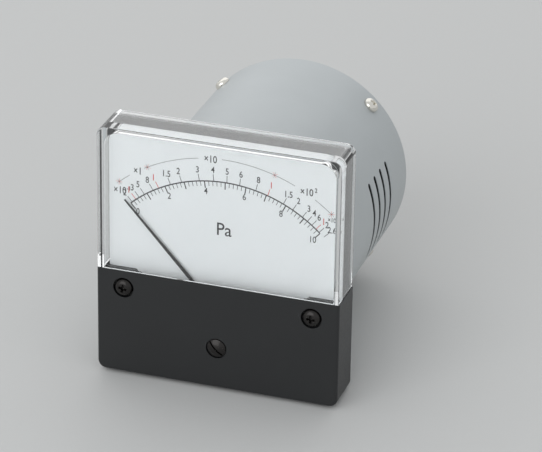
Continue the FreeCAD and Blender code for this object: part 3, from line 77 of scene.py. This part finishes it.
def disc(radius, first, last, segments=64):  # round bar along Y
    bm = bmesh.new()
    bmesh.ops.create_cone(bm, cap_ends=True, segments=segments, radius1=radius * mm, radius2=radius * mm,
                          depth=(last - first) * mm, matrix=Matrix.Rotation(math.radians(90), 4, "X"))
    bmesh.ops.translate(bm, vec=(0, (first + last) / 2 * mm, 0), verts=bm.verts)
    return bm


def roundEdges(bm, radius, segments, wanted):
    edges = [edge for edge in bm.edges if wanted(*(vert.co / mm for vert in edge.verts))]
    bmesh.ops.bevel(bm, geom=edges, offset=radius * mm, offset_type="OFFSET", segments=segments, profile=0.5,
                    affect="EDGES", material=-1, clamp_overlap=True)


def near(first, second):
    return abs(first - second) < 0.001


def placed(bm, place, facing=None):
    if facing is not None:
        bmesh.ops.rotate(bm, matrix=facing, verts=bm.verts)
    bmesh.ops.translate(bm, vec=Vector(place) * mm, verts=bm.verts)
    return bm


def meshFrom(bm, name):
    mesh = bpy.data.meshes.new(name)
    bm.to_mesh(mesh)
    bm.free()
    return mesh


def joined(*parts):
    whole = bmesh.new()
    for part in parts:
        mesh = meshFrom(part, "part")
        whole.from_mesh(mesh)
        bpy.data.meshes.remove(mesh)
    return whole


def carved(bm, cutters, operation="DIFFERENCE"):  # boolean of a mesh with several others
    base = bpy.data.objects.new("carved", meshFrom(bm, "carved"))
    scene.collection.objects.link(base)
    helpers = []
    for cutter in cutters:
        helper = bpy.data.objects.new("cutter", meshFrom(cutter, "cutter"))
        scene.collection.objects.link(helper)
        modifier = base.modifiers.new("cut", "BOOLEAN")
        modifier.operation = operation
        modifier.solver = "EXACT"
        modifier.object = helper
        helpers.append(helper)
    bpy.context.view_layer.update()
    shaped = base.evaluated_get(bpy.context.evaluated_depsgraph_get())
    result = bmesh.new()
    result.from_mesh(shaped.to_mesh())
    shaped.to_mesh_clear()
    for thing in helpers + [base]:
        bpy.data.objects.remove(thing, do_unlink=True)
    return result


sharpAngle = 35.0  # an edge that turns more than this looks sharp


def finishPiece(name, bm, body, material, node=None):
    bmesh.ops.remove_doubles(bm, verts=bm.verts, dist=1e-7)
    bmesh.ops.recalc_face_normals(bm, faces=bm.faces)
    limit = math.radians(sharpAngle)
    for face in bm.faces:
        face.smooth = True
    for edge in bm.edges:
        edge.smooth = len(edge.link_faces) == 2 and edge.calc_face_angle(0.0) < limit
    piece = bpy.data.objects.new(name, meshFrom(bm, name))
    scene.collection.objects.link(piece)
    piece.data.materials.append(material)
    evened = piece.modifiers.new("evenNormals", "WEIGHTED_NORMAL")  # flat faces look flat beside a rounding
    evened.keep_sharp = True
    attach(piece, body)
    if node:
        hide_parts(node)
    return piece


# Material tools

def startMaterial(name):
    material = bpy.data.materials.new(name)
    material.use_nodes = True
    tree = material.node_tree
    shader = next(node for node in tree.nodes if node.type == "BSDF_PRINCIPLED")
    place = tree.nodes.new("ShaderNodeTexCoord")
    return material, tree, shader, place


def noiseOf(tree, place, scale, detail=3.0, stretch=None):
    noise = tree.nodes.new("ShaderNodeTexNoise")
    noise.inputs["Scale"].default_value = scale
    noise.inputs["Detail"].default_value = detail
    if stretch:
        mapping = tree.nodes.new("ShaderNodeMapping")
        mapping.inputs["Scale"].default_value = stretch
        tree.links.new(place.outputs["Object"], mapping.inputs["Vector"])
        tree.links.new(mapping.outputs["Vector"], noise.inputs["Vector"])
    else:
        tree.links.new(place.outputs["Object"], noise.inputs["Vector"])
    return noise


noiseRange = (0.3, 0.7)  # where most of a noise lies


def spread(tree, source, low, high):  # a noise to the range from low to high
    ramp = tree.nodes.new("ShaderNodeMapRange")
    ramp.inputs["From Min"].default_value, ramp.inputs["From Max"].default_value = noiseRange
    ramp.inputs["To Min"].default_value = low
    ramp.inputs["To Max"].default_value = high
    tree.links.new(source.outputs["Fac"], ramp.inputs["Value"])
    return ramp.outputs["Result"]


def tint(tree, source, dark, light):
    ramp = tree.nodes.new("ShaderNodeValToRGB")
    for stop, position, colour in zip(ramp.color_ramp.elements, noiseRange, (dark, light)):
        stop.position = position
        stop.color = (*colour, 1.0)
    tree.links.new(source.outputs["Fac"], ramp.inputs["Fac"])
    return ramp.outputs["Color"]


def bumpFrom(tree, source, shader, strength, depth):
    bump = tree.nodes.new("ShaderNodeBump")
    bump.inputs["Strength"].default_value = strength
    bump.inputs["Distance"].default_value = depth * mm
    tree.links.new(source, bump.inputs["Height"])
    tree.links.new(bump.outputs["Normal"], shader.inputs["Normal"])


def surface(name, values):  # colour, roughness and fine bump, each varied by noise over the object
    material, tree, shader, place = startMaterial(name)
    colour = values["colour"]
    change = values.get("colourChange", 0.06)
    broad = noiseOf(tree, place, values.get("broadScale", 60.0), stretch=values.get("stretch"))
    fine = noiseOf(tree, place, values.get("fineScale", 1500.0), stretch=values.get("stretch"))
    dark = [part * (1 - change) for part in colour]
    light = [min(part * (1 + change), 1.0) for part in colour]
    tree.links.new(tint(tree, broad, dark, light), shader.inputs["Base Color"])
    low, high = values["roughness"]
    tree.links.new(spread(tree, fine, low, high), shader.inputs["Roughness"])
    bumpFrom(tree, fine.outputs["Fac"], shader, values.get("bump", 0.2), values.get("bumpDepth", 0.02))
    shader.inputs["Metallic"].default_value = values.get("metallic", 0.0)
    shader.inputs["Coat Weight"].default_value = values.get("coat", 0.0)
    shader.inputs["Coat Roughness"].default_value = values.get("coatRoughness", 0.1)
    return material


finishes = {
    "blackPanel": {"colour": (0.010, 0.011, 0.012), "roughness": (0.36, 0.44), "fineScale": 1800.0,
                   "bump": 0.18, "bumpDepth": 0.02},
    "blackCase": {"colour": (0.016, 0.017, 0.018), "roughness": (0.45, 0.6), "fineScale": 1200.0},
    "blackScrew": {"colour": (0.035, 0.033, 0.032), "roughness": (0.16, 0.3), "metallic": 0.85,
                   "fineScale": 900.0, "bump": 0.1},
    "dialPaint": {"colour": (0.83, 0.86, 0.87), "colourChange": 0.01, "roughness": (0.5, 0.6),
                  "fineScale": 2500.0, "bump": 0.05},
    "canPaint": {"colour": (0.42, 0.45, 0.46), "colourChange": 0.02, "roughness": (0.36, 0.44),
                 "fineScale": 2600.0, "bump": 0.12, "bumpDepth": 0.015, "coat": 0.1, "coatRoughness": 0.3},
    "nickel": {"colour": (0.78, 0.76, 0.70), "roughness": (0.12, 0.24), "metallic": 1.0, "fineScale": 1500.0,
               "bump": 0.08},
    "steel": {"colour": (0.52, 0.52, 0.53), "roughness": (0.25, 0.4), "metallic": 1.0,
              "stretch": (1.0, 0.2, 1.0)},
    "brass": {"colour": (0.72, 0.56, 0.27), "roughness": (0.25, 0.42), "metallic": 1.0},
    "magnetSteel": {"colour": (0.2, 0.2, 0.21), "roughness": (0.35, 0.55), "metallic": 0.9},
    "aluminium": {"colour": (0.75, 0.76, 0.78), "roughness": (0.25, 0.4), "metallic": 1.0},
    "copperWire": {"colour": (0.56, 0.22, 0.1), "roughness": (0.3, 0.45), "metallic": 0.9,
                   "stretch": (1.0, 12.0, 1.0), "bump": 0.5, "bumpDepth": 0.05},
    "pointerBlack": {"colour": (0.012, 0.012, 0.012), "roughness": (0.5, 0.65)},
    "circuitBoard": {"colour": (0.035, 0.13, 0.06), "colourChange": 0.15, "roughness": (0.3, 0.45),
                     "coat": 0.3},
    "chipBlack": {"colour": (0.02, 0.02, 0.021), "roughness": (0.5, 0.7)},
    "coilTape": {"colour": (0.55, 0.38, 0.08), "roughness": (0.35, 0.5), "coat": 0.2},
    "capacitorSleeve": {"colour": (0.03, 0.05, 0.16), "roughness": (0.25, 0.35), "coat": 0.3},
    "potBlue": {"colour": (0.03, 0.08, 0.22), "roughness": (0.4, 0.55)},
    "blockBlack": {"colour": (0.02, 0.02, 0.022), "roughness": (0.38, 0.55), "bump": 0.3},
}
materials = {name: surface(name, values) for name, values in finishes.items()}

# painted shade: below the can's outer skin, and short of its rear end, the paint colour turns near-black so
# the vents look dark inside
ventShade = {"paintRadius": 38.72, "shadeRadius": 38.6, "end": 60.0, "colour": (0.008, 0.008, 0.008)}


def paintShadeInside(material, values):  # painted shade: near-black colour on the can's inside and on the vents' cut walls, where shade falls
    tree = material.node_tree
    shader = next(node for node in tree.nodes if node.type == "BSDF_PRINCIPLED")
    paint = shader.inputs["Base Color"].links[0].from_socket
    place = tree.nodes.new("ShaderNodeTexCoord")
    split = tree.nodes.new("ShaderNodeSeparateXYZ")
    tree.links.new(place.outputs["Object"], split.inputs["Vector"])
    flat = tree.nodes.new("ShaderNodeCombineXYZ")
    tree.links.new(split.outputs["X"], flat.inputs["X"])
    tree.links.new(split.outputs["Z"], flat.inputs["Z"])
    length = tree.nodes.new("ShaderNodeVectorMath")
    length.operation = "LENGTH"
    tree.links.new(flat.outputs["Vector"], length.inputs[0])
    painted = tree.nodes.new("ShaderNodeMapRange")
    painted.inputs["From Min"].default_value = values["shadeRadius"] * mm
    painted.inputs["From Max"].default_value = values["paintRadius"] * mm
    tree.links.new(length.outputs["Value"], painted.inputs["Value"])
    beyond = tree.nodes.new("ShaderNodeMath")
    beyond.operation = "GREATER_THAN"
    beyond.inputs[1].default_value = values["end"] * mm
    tree.links.new(split.outputs["Y"], beyond.inputs[0])
    either = tree.nodes.new("ShaderNodeMath")
    either.operation = "MAXIMUM"
    tree.links.new(painted.outputs["Result"], either.inputs[0])
    tree.links.new(beyond.outputs["Value"], either.inputs[1])
    mix = tree.nodes.new("ShaderNodeMix")
    mix.data_type = "RGBA"
    tree.links.new(either.outputs["Value"], mix.inputs["Factor"])
    colourIn = [socket for socket in mix.inputs if socket.type == "RGBA"]
    colourOut = next(socket for socket in mix.outputs if socket.type == "RGBA")
    colourIn[0].default_value = (*values["colour"], 1.0)
    tree.links.new(paint, colourIn[1])
    tree.links.new(colourOut, shader.inputs["Base Color"])


materials["ventedCan"] = surface("ventedCan", finishes["canPaint"])
paintShadeInside(materials["ventedCan"], ventShade)

nodeFinish = {
    "lower_panel": "blackPanel", "meter_case": "blackCase", "terminal_block": "blockBlack",
    "socket_insert": "blockBlack", "zero_adjuster": "blackScrew", "front_screws": "blackScrew",
    "can_screws": "nickel", "plate_screws": "nickel", "panel_studs": "steel", "terminal_studs": "nickel",
    "terminal_nuts": "nickel", "terminal_screws": "nickel", "block_screws": "nickel",
    "gauge_socket": "nickel", "socket_nut": "nickel", "pot_nuts": "nickel", "dial_screws": "nickel",
    "frame_screws": "steel", "yoke_ring": "steel", "strap_screws": "steel", "adjuster_ring": "steel",
    "coil_staffs": "steel", "zero_pot_shaft": "steel", "span_pot_shaft": "steel",
    "transformer_core": "steel", "front_bridge": "brass", "rear_bridge": "brass", "front_sleeves": "brass",
    "rear_sleeves": "brass", "core_straps": "brass", "front_jewel_screw": "brass",
    "rear_jewel_screw": "brass", "jewel_nuts": "brass", "zero_arm": "brass", "balance_weights": "brass",
    "front_spring": "brass", "rear_spring": "brass", "front_spacers": "brass", "middle_spacers": "brass",
    "rear_spacers": "brass", "pointer_stops": "brass", "dial_plate": "dialPaint",
    "magnet_core": "magnetSteel", "coil_former": "aluminium", "coil_winding": "copperWire",
    "pointer": "pointerBlack", "can": "ventedCan", "rear_plate": "canPaint",
    "amplifier_board": "circuitBoard", "power_board": "circuitBoard", "amplifier_chips": "chipBlack",
    "regulator": "chipBlack", "transformer_coil": "coilTape", "capacitors": "capacitorSleeve",
    "pot_bodies": "potBlue",
}
for node, finish in nodeFinish.items():
    mesh = frame["nodes"][node].data
    mesh.materials.clear()
    mesh.materials.append(materials[finish])
print("finishes set")


# Clear cover, one moulding with a thick window and walls

coverValues = {
    "wall": 2.0, "window": 1.9, "corner": 3.0, "edgeRound": 0.2, "innerCorner": 5.35, "innerRound": 0.15,
    "stepBehindDial": 0.1, "tongueDrop": 1.25, "lip": 1.0, "tongueGap": 0.1, "rebate": 0.7,
    "rebateDepth": 2.0, "bendSegments": 8, "colour": (0.985, 0.99, 0.99), "ior": 1.49, "roughness": 0.015,
    "waveScale": 40.0, "waveStrength": 0.05, "waveDepth": 0.05,
}


def clearPlastic(values):
    material, tree, shader, place = startMaterial("clearPlastic")
    shader.inputs["Base Color"].default_value = (*values["colour"], 1.0)
    shader.inputs["IOR"].default_value = values["ior"]
    shader.inputs["Transmission Weight"].default_value = 1.0
    wave = noiseOf(tree, place, values["waveScale"], detail=1.0)
    rough = values["roughness"]
    tree.links.new(spread(tree, wave, rough * 0.5, rough), shader.inputs["Roughness"])
    bumpFrom(tree, wave.outputs["Fac"], shader, values["waveStrength"], values["waveDepth"])
    return material


def makeCover(values):
    left, front, low = coverLow
    right, rear, high = coverHigh
    seam = low + values["tongueDrop"]
    segments = values["bendSegments"]
    wall = values["wall"]
    shell = block((left, front, seam), (right, rear, high))
    roundEdges(shell, values["corner"], segments,
               lambda a, b: near(a.z, high) and near(b.z, high) and near(a.x, b.x))
    roundEdges(shell, values["edgeRound"], segments,
               lambda a, b: near(a.y, front) and near(b.y, front)
               and not (near(a.z, seam) and near(b.z, seam)))
    windowBack = front + values["window"]
    dialStep = dialLow.y - values["stepBehindDial"]
    under = low - wall
    hollow = block((left + wall, windowBack, under), (right - wall, rear + wall, high - wall))
    roundEdges(hollow, values["innerCorner"], segments,
               lambda a, b: near(a.z, high - wall) and near(b.z, high - wall) and near(a.x, b.x))
    roundEdges(hollow, values["innerRound"], 4,
               lambda a, b: near(a.y, windowBack) and near(b.y, windowBack)
               and not (near(a.z, under) and near(b.z, under)))
    behind = block((left + wall, dialStep, under), (right - wall, rear + wall, high - wall))
    roundEdges(behind, values["corner"] - wall, segments,
               lambda a, b: near(a.z, high - wall) and near(b.z, high - wall) and near(a.x, b.x))
    inset = wall - values["rebate"]
    rebate = block((left + inset, rear - values["rebateDepth"], under),
                   (right - inset, rear + wall, high - inset))
    roundEdges(rebate, values["corner"] - inset, segments,
               lambda a, b: near(a.z, high - inset) and near(b.z, high - inset) and near(a.x, b.x))
    shell = carved(shell, [hollow, behind, rebate])
    aside = wall + values["tongueGap"]
    tongue = block((left + aside, front + values["lip"], low), (right - aside, windowBack + 0.02, seam + 0.3))
    shell = carved(shell, [tongue], "UNION")
    piece = finishPiece("clearCover", shell, "housing", clearPlastic(values), "cover")
    piece.visible_shadow = False  # light passes the clear moulding


makeCover(coverValues)

caseValues = {"gap": 0.1}


def makeCase(values):  # the case, with its flange kept inside the clear walls
    left, front, low = coverLow
    right, rear, high = coverHigh
    inset = coverValues["wall"] + values["gap"]
    seam = low + coverValues["tongueDrop"]
    case = bmesh.new()
    case.from_mesh(frame["nodes"]["meter_case"].data)
    bmesh.ops.remove_doubles(case, verts=case.verts, dist=1e-6)
    around = block((left - inset, front, seam), (right + inset, rear + 0.5, high + inset))
    within = block((left + inset, front - 1, seam - 1), (right - inset, rear + 1, high - inset))
    case = carved(case, [carved(around, [within])])
    finishPiece("meterCase", case, "housing", materials["blackCase"], "meter_case")


makeCase(caseValues)
print("cover and case made")


# Screws with cross recesses

recessTaper = (0.45, 1.0, 0.7)  # the bottom of a cross recess against its mouth


def crossRecess(width, reach, depth, face, twist):
    bars = []
    for turn in (0.0, 90.0):
        bar = block((-reach, face - 0.5, -width / 2), (reach, face + depth, width / 2))
        bottom = [vert for vert in bar.verts if near(vert.co.y / mm, face + depth)]
        bmesh.ops.scale(bar, vec=recessTaper, verts=bottom)
        bmesh.ops.rotate(bar, matrix=Matrix.Rotation(math.radians(turn + twist), 3, "Y"), verts=bar.verts)
        bars.append(bar)
    return bars


def crossScrew(values, twist):  # head towards -Y, its underside at the origin
    head = disc(values["head"], -values["height"], 0.0)
    roundEdges(head, values["height"] * values["doming"], 8,
               lambda a, b: near(a.y, -values["height"]) and near(b.y, -values["height"]))
    head = carved(head, crossRecess(values["crossWidth"], values["crossReach"], values["crossDepth"],
                                    -values["height"], twist))
    shank = disc(values["shank"], -0.2, values["length"], segments=24)
    return joined(head, shank)


frontScrewValues = {"head": 3.2, "height": 2.6, "doming": 0.75, "crossWidth": 0.95, "crossReach": 1.75,
                    "crossDepth": 1.3, "shank": 1.5, "length": 10.5, "twists": (12.0, 2.0)}


def makeFrontScrews(values):
    low, high = nodeBox("front_screws")
    parts = []
    for side, twist in zip((-1, 1), values["twists"]):
        x = side * (high.x - values["head"])
        parts.append(placed(crossScrew(values, twist), (x, low.y + values["height"], (low.z + high.z) / 2)))
    finishPiece("frontScrews", joined(*parts), "housing", materials["blackScrew"],
                "front_screws")


makeFrontScrews(frontScrewValues)

canScrewValues = {"head": 2.75, "height": 1.9, "doming": 0.8, "crossWidth": 0.8, "crossReach": 1.5,
                  "crossDepth": 1.0, "shank": 1.5, "length": 3.6, "fromUp": 43.8, "behind": 68.5, "can": 38.9,
                  "twists": (20.0, 35.0, 5.0, 60.0)}


def makeCanScrews(values):
    parts = []
    corners = [(1, 1), (-1, 1), (1, -1), (-1, -1)]
    for (side, height), twist in zip(corners, values["twists"]):
        angle = math.radians(values["fromUp"])
        outward = Vector((side * math.sin(angle), 0.0, height * math.cos(angle)))
        facing = Vector((0, -1, 0)).rotation_difference(outward).to_matrix()
        place = outward * values["can"] + Vector((0, values["behind"], 0))
        parts.append(placed(crossScrew(values, twist), place, facing))
    finishPiece("canScrews", joined(*parts), "housing", materials["nickel"], "can_screws")


makeCanScrews(canScrewValues)

rearTwists = (17.0, 41.0)  # the first recess, and the step from screw to screw
rearScrewValues = {
    "plate_screws": {"head": 2.75, "height": 1.9, "doming": 0.8, "crossWidth": 0.8, "crossReach": 1.5,
                     "crossDepth": 1.0, "shank": 1.5, "length": 5.6, "piece": "plateScrews"},
    "terminal_screws": {"head": 2.4, "height": 1.6, "doming": 0.5, "crossWidth": 0.7, "crossReach": 1.5,
                        "crossDepth": 0.9, "shank": 1.5, "length": 4.0, "piece": "terminalScrews"},
    "block_screws": {"head": 1.8, "height": 1.2, "doming": 0.7, "crossWidth": 0.5, "crossReach": 1.0,
                     "crossDepth": 0.6, "shank": 1.0, "length": 4.7, "piece": "blockScrews"},
}


def makeRearScrews(node, values, places):
    low, high = nodeBox(node)
    back = Matrix.Rotation(math.radians(180), 3, "Z")
    parts = []
    for index, (x, z) in enumerate(places):
        twist = rearTwists[0] + rearTwists[1] * index
        parts.append(placed(crossScrew(values, twist), (x, high.y - values["height"], z), back))
    finishPiece(values["piece"], joined(*parts), "housing", materials["nickel"], node)


def cornerPlaces(node, head):
    low, high = nodeBox(node)
    return [(x, z) for x in (low.x + head, high.x - head) for z in (low.z + head, high.z - head)]


def rowPlaces(node, head, count):
    low, high = nodeBox(node)
    step = (high.x - low.x - head * 2) / (count - 1)
    return [(low.x + head + step * index, (low.z + high.z) / 2) for index in range(count)]


makeRearScrews("plate_screws", rearScrewValues["plate_screws"],
               cornerPlaces("plate_screws", rearScrewValues["plate_screws"]["head"]))
makeRearScrews("terminal_screws", rearScrewValues["terminal_screws"],
               rowPlaces("terminal_screws", rearScrewValues["terminal_screws"]["head"], 4))
makeRearScrews("block_screws", rearScrewValues["block_screws"],
               rowPlaces("block_screws", rearScrewValues["block_screws"]["head"], 2))
print("screws made")


# Dial print

dialValues = {
    "proud": 0.03, "printThickness": 0.02, "shift": (0.45, 0.0),
    "arcRadius": 48.6, "arcWidth": 0.42, "scaleFrom": -42.4, "scaleTo": 43.0,
    "lowerCount": 50, "shortTick": 1.5, "longTick": 2.3, "tickWidth": 0.19, "longTickWidth": 0.36,
    "lowerNumbers": 44.9, "numberHeight": 2.25, "condense": 0.8, "numberBold": 0.03,
    "upperTick": 2.3, "upperTickWidth": 0.2, "upperNumbers": 52.6,
    "upper": [("2", -41.6, 0), ("1", -39.5, 1), ("3", -37.8, 0), ("5", -35.1, 0), ("8", -30.8, 0),
              ("1", -28.1, 1), ("1.5", -22.7, 0), ("2", -17.8, 0), ("3", -10.3, 0), ("4", -4.4, 0),
              ("5", 1.0, 0), ("6", 6.2, 0), ("8", 12.9, 0), ("1", 17.9, 1), ("1.5", 24.8, 0),
              ("2", 29.1, 0), ("3", 33.7, 0), ("4", 36.2, 0), ("6", 38.5, 0), ("1", 40.7, 1),
              ("2", 42.4, 0), ("2.6", 45.0, 0)],
    "rangeRadius": 56.7, "rangeWidth": 0.13,
    "rangeArcs": [(-40.5, -35.7), (-29.6, -9.2), (-1.0, 25.3), (33.4, 40.6)],
    "stars": [-40.5, -28.3, 17.7, 40.6], "starReach": 1.15, "starWidth": 0.1,
    "rangeLabels": [("×10", "-1", -42.5, 54.2, 1.0), ("×1", "", -32.3, 56.7, 1.0),
                    ("×10", "", -5.0, 56.4, 1.0), ("×10", "2", 29.7, 57.1, 1.0),
                    ("×10", "3", 42.17, 55.19, 0.62)],
    "labelHeight": 2.55, "powerHeight": 0.62, "powerAside": 1.25, "powerRaised": 0.42,
    "unit": ("Pa", 0.4, 11.4), "unitHeight": 4.6, "unitCondense": 0.9,
    "black": (0.02, 0.02, 0.022), "red": (0.62, 0.05, 0.03),
}


def printInk(name, colour):
    material, tree, shader, place = startMaterial(name)
    speckle = noiseOf(tree, place, 3000.0)
    light = [part + 0.02 for part in colour]
    tree.links.new(tint(tree, speckle, colour, light), shader.inputs["Base Color"])
    shader.inputs["Roughness"].default_value = 0.55
    return material


def onDial(values, radius, angle):
    turn = math.radians(angle)
    axis = pointerAxis / mm
    return Vector((axis.x + values["shift"][0] + radius * math.sin(turn), dialLow.y - values["proud"],
                   axis.z + values["shift"][1] + radius * math.cos(turn)))


def tick(values, radius, angle, length, width, lean=0.0):
    half = values["printThickness"] / 2
    bm = block((-width / 2, -half, -length / 2), (width / 2, half, length / 2))
    bmesh.ops.rotate(bm, matrix=Matrix.Rotation(math.radians(angle + lean), 3, "Y"), verts=bm.verts)
    return placed(bm, onDial(values, radius, angle))


def arc(values, radius, width, first, last):
    half = values["printThickness"] / 2
    steps = max(int((last - first) * 1.5), 2)
    bm = block((-width / 2, -half, -0.001), (width / 2, half, 0.001))
    bmesh.ops.delete(bm, geom=[face for face in bm.faces if face.normal.z < 0.9], context="FACES")
    bmesh.ops.translate(bm, vec=(radius * mm, 0, 0), verts=bm.verts)
    bmesh.ops.rotate(bm, matrix=Matrix.Rotation(math.radians(first - 90), 3, "Y"), verts=bm.verts)
    bmesh.ops.spin(bm, geom=bm.verts[:] + bm.edges[:] + bm.faces[:], cent=(0, 0, 0), axis=(0, 1, 0),
                   angle=math.radians(last - first), steps=steps, use_merge=False)
    return placed(bm, onDial(values, 0.0, 0.0))


capitalShare = 0.7  # height of a capital against the size of its font


def lettering(values, text, height, centre, condense):
    curve = bpy.data.curves.new("lettering", "FONT")
    curve.body = text
    curve.size = height * mm / capitalShare
    curve.align_x = "CENTER"
    curve.align_y = "CENTER"
    curve.offset = values["numberBold"] * mm
    curve.resolution_u = 4
    letters = bpy.data.objects.new("lettering", curve)
    scene.collection.objects.link(letters)
    bpy.context.view_layer.update()
    bm = bmesh.new()
    bm.from_mesh(letters.evaluated_get(bpy.context.evaluated_depsgraph_get()).to_mesh())
    bpy.data.objects.remove(letters, do_unlink=True)
    bmesh.ops.scale(bm, vec=(condense, 1.0, 1.0), verts=bm.verts)
    bmesh.ops.rotate(bm, matrix=Matrix.Rotation(math.radians(90), 3, "X"), verts=bm.verts)
    return placed(bm, centre)


def makeDialPrint(values):
    black = [arc(values, values["arcRadius"], values["arcWidth"], values["scaleFrom"], values["scaleTo"])]
    red = []
    condense = values["condense"]
    inner = values["arcRadius"] - values["arcWidth"] / 2
    outer = values["arcRadius"] + values["arcWidth"] / 2
    step = (values["scaleTo"] - values["scaleFrom"]) / values["lowerCount"]
    for index in range(values["lowerCount"] + 1):
        long = index % 5 == 0
        length = values["longTick"] if long else values["shortTick"]
        width = values["longTickWidth"] if long else values["tickWidth"]
        black.append(tick(values, inner - length / 2, values["scaleFrom"] + step * index, length, width))
        if index % 10 == 0:
            centre = onDial(values, values["lowerNumbers"], values["scaleFrom"] + step * index)
            black.append(lettering(values, str(index // 5), values["numberHeight"], centre, condense))
    length = values["upperTick"]
    for text, angle, isRed in values["upper"]:
        ink = red if isRed else black
        ink.append(tick(values, outer + length / 2, angle, length, values["upperTickWidth"]))
        centre = onDial(values, values["upperNumbers"], angle)
        ink.append(lettering(values, text, values["numberHeight"], centre, condense))
    for first, last in values["rangeArcs"]:
        black.append(arc(values, values["rangeRadius"], values["rangeWidth"], first, last))
    length = values["starReach"] * 2
    for angle in values["stars"]:
        for lean in (0.0, 45.0, 90.0, 135.0):
            ink = black if lean in (0.0, 90.0) else red
            ink.append(tick(values, values["rangeRadius"], angle, length, values["starWidth"], lean))
    for text, power, angle, radius, size in values["rangeLabels"]:
        centre = onDial(values, radius, angle)
        height = values["labelHeight"] * size
        black.append(lettering(values, text, height, centre, condense))
        if power:
            raised = centre + Vector((height * values["powerAside"], 0, height * values["powerRaised"]))
            black.append(lettering(values, power, height * values["powerHeight"], raised, condense))
    text, x, z = values["unit"]
    place = Vector((x, dialLow.y - values["proud"], z))
    black.append(lettering(values, text, values["unitHeight"], place, values["unitCondense"]))
    for name, parts, ink in (("Black", black, values["black"]), ("Red", red, values["red"])):
        printed = printInk("ink" + name, ink)
        finishPiece("dialPrint" + name, joined(*parts), "housing", printed)


makeDialPrint(dialValues)
print("dial printed")


# Floor, light and camera

stageValues = {
    "bezelFoot": (0.0, -44.87), "canFoot": (75.2, -38.92), "size": 40000.0,
    "floorColour": (0.545, 0.55, 0.545), "worldColour": (0.80, 0.81, 0.82), "worldStrength": 0.9,
}


def makeFloor(values):
    (nearY, nearZ), (farY, farZ) = values["bezelFoot"], values["canFoot"]
    slope = math.atan2(farZ - nearZ, farY - nearY)
    bm = bmesh.new()
    bmesh.ops.create_grid(bm, x_segments=2, y_segments=2, size=values["size"] / 2 * mm)
    bmesh.ops.rotate(bm, matrix=Matrix.Rotation(slope, 3, "X"), verts=bm.verts)
    bmesh.ops.translate(bm, vec=(0, nearY * mm, nearZ * mm), verts=bm.verts)
    floor = bpy.data.objects.new("floor", meshFrom(bm, "floor"))
    scene.collection.objects.link(floor)
    material, tree, shader, place = startMaterial("floorPaper")
    grain = noiseOf(tree, place, 900.0)
    colour = values["floorColour"]
    tree.links.new(tint(tree, grain, [part * 0.99 for part in colour], colour), shader.inputs["Base Color"])
    shader.inputs["Roughness"].default_value = 0.7
    floor.data.materials.append(material)


def makeWorld(values):
    world = bpy.data.worlds.new("studio")
    world.use_nodes = True
    background = world.node_tree.nodes["Background"]
    background.inputs["Color"].default_value = (*values["worldColour"], 1.0)
    background.inputs["Strength"].default_value = values["worldStrength"]
    scene.world = world


lampValues = [
    {"name": "key", "place": (-520.0, 1150.0, 1050.0), "size": 2400.0, "power": 8.6,
     "colour": (1.0, 0.995, 0.985)},
    {"name": "front", "place": (-450.0, -1300.0, 700.0), "size": 1400.0, "power": 9.0,
     "colour": (0.98, 0.99, 1.0)},
]


def makeLamp(values):
    lamp = bpy.data.lights.new(values["name"], "AREA")
    lamp.shape = "SQUARE"
    lamp.size = values["size"] * mm
    lamp.energy = values["power"]
    lamp.color = values["colour"]
    holder = bpy.data.objects.new(values["name"], lamp)
    holder.location = Vector(values["place"]) * mm
    holder.rotation_euler = (-holder.location).to_track_quat("-Z", "Y").to_euler()
    scene.collection.objects.link(holder)


cameraValues = {"aim": (11.281, 7.247, 7.117), "azimuth": 17.857, "elevation": 25.786, "roll": 0.955,
                "distance": 1081.53, "lens": 214.94, "sensor": 36.0, "reach": 100.0}


def makeCamera(values):
    azimuth, elevation = math.radians(values["azimuth"]), math.radians(values["elevation"])
    forward = Vector((-math.sin(azimuth) * math.cos(elevation), math.cos(azimuth) * math.cos(elevation),
                      -math.sin(elevation)))
    camera = bpy.data.cameras.new("camera")
    camera.lens = values["lens"]
    camera.sensor_width = values["sensor"]
    camera.clip_end = values["reach"]
    holder = bpy.data.objects.new("camera", camera)
    level = forward.to_track_quat("-Z", "Y").to_matrix()
    holder.rotation_euler = (level @ Matrix.Rotation(math.radians(values["roll"]), 3, "Z")).to_euler()
    holder.location = (Vector(values["aim"]) - forward * values["distance"]) * mm
    scene.collection.objects.link(holder)
    scene.camera = holder


makeFloor(stageValues)
makeWorld(stageValues)
for lamp in lampValues:
    makeLamp(lamp)
makeCamera(cameraValues)
scene.view_settings.view_transform = "Standard"
print("stage and camera set")
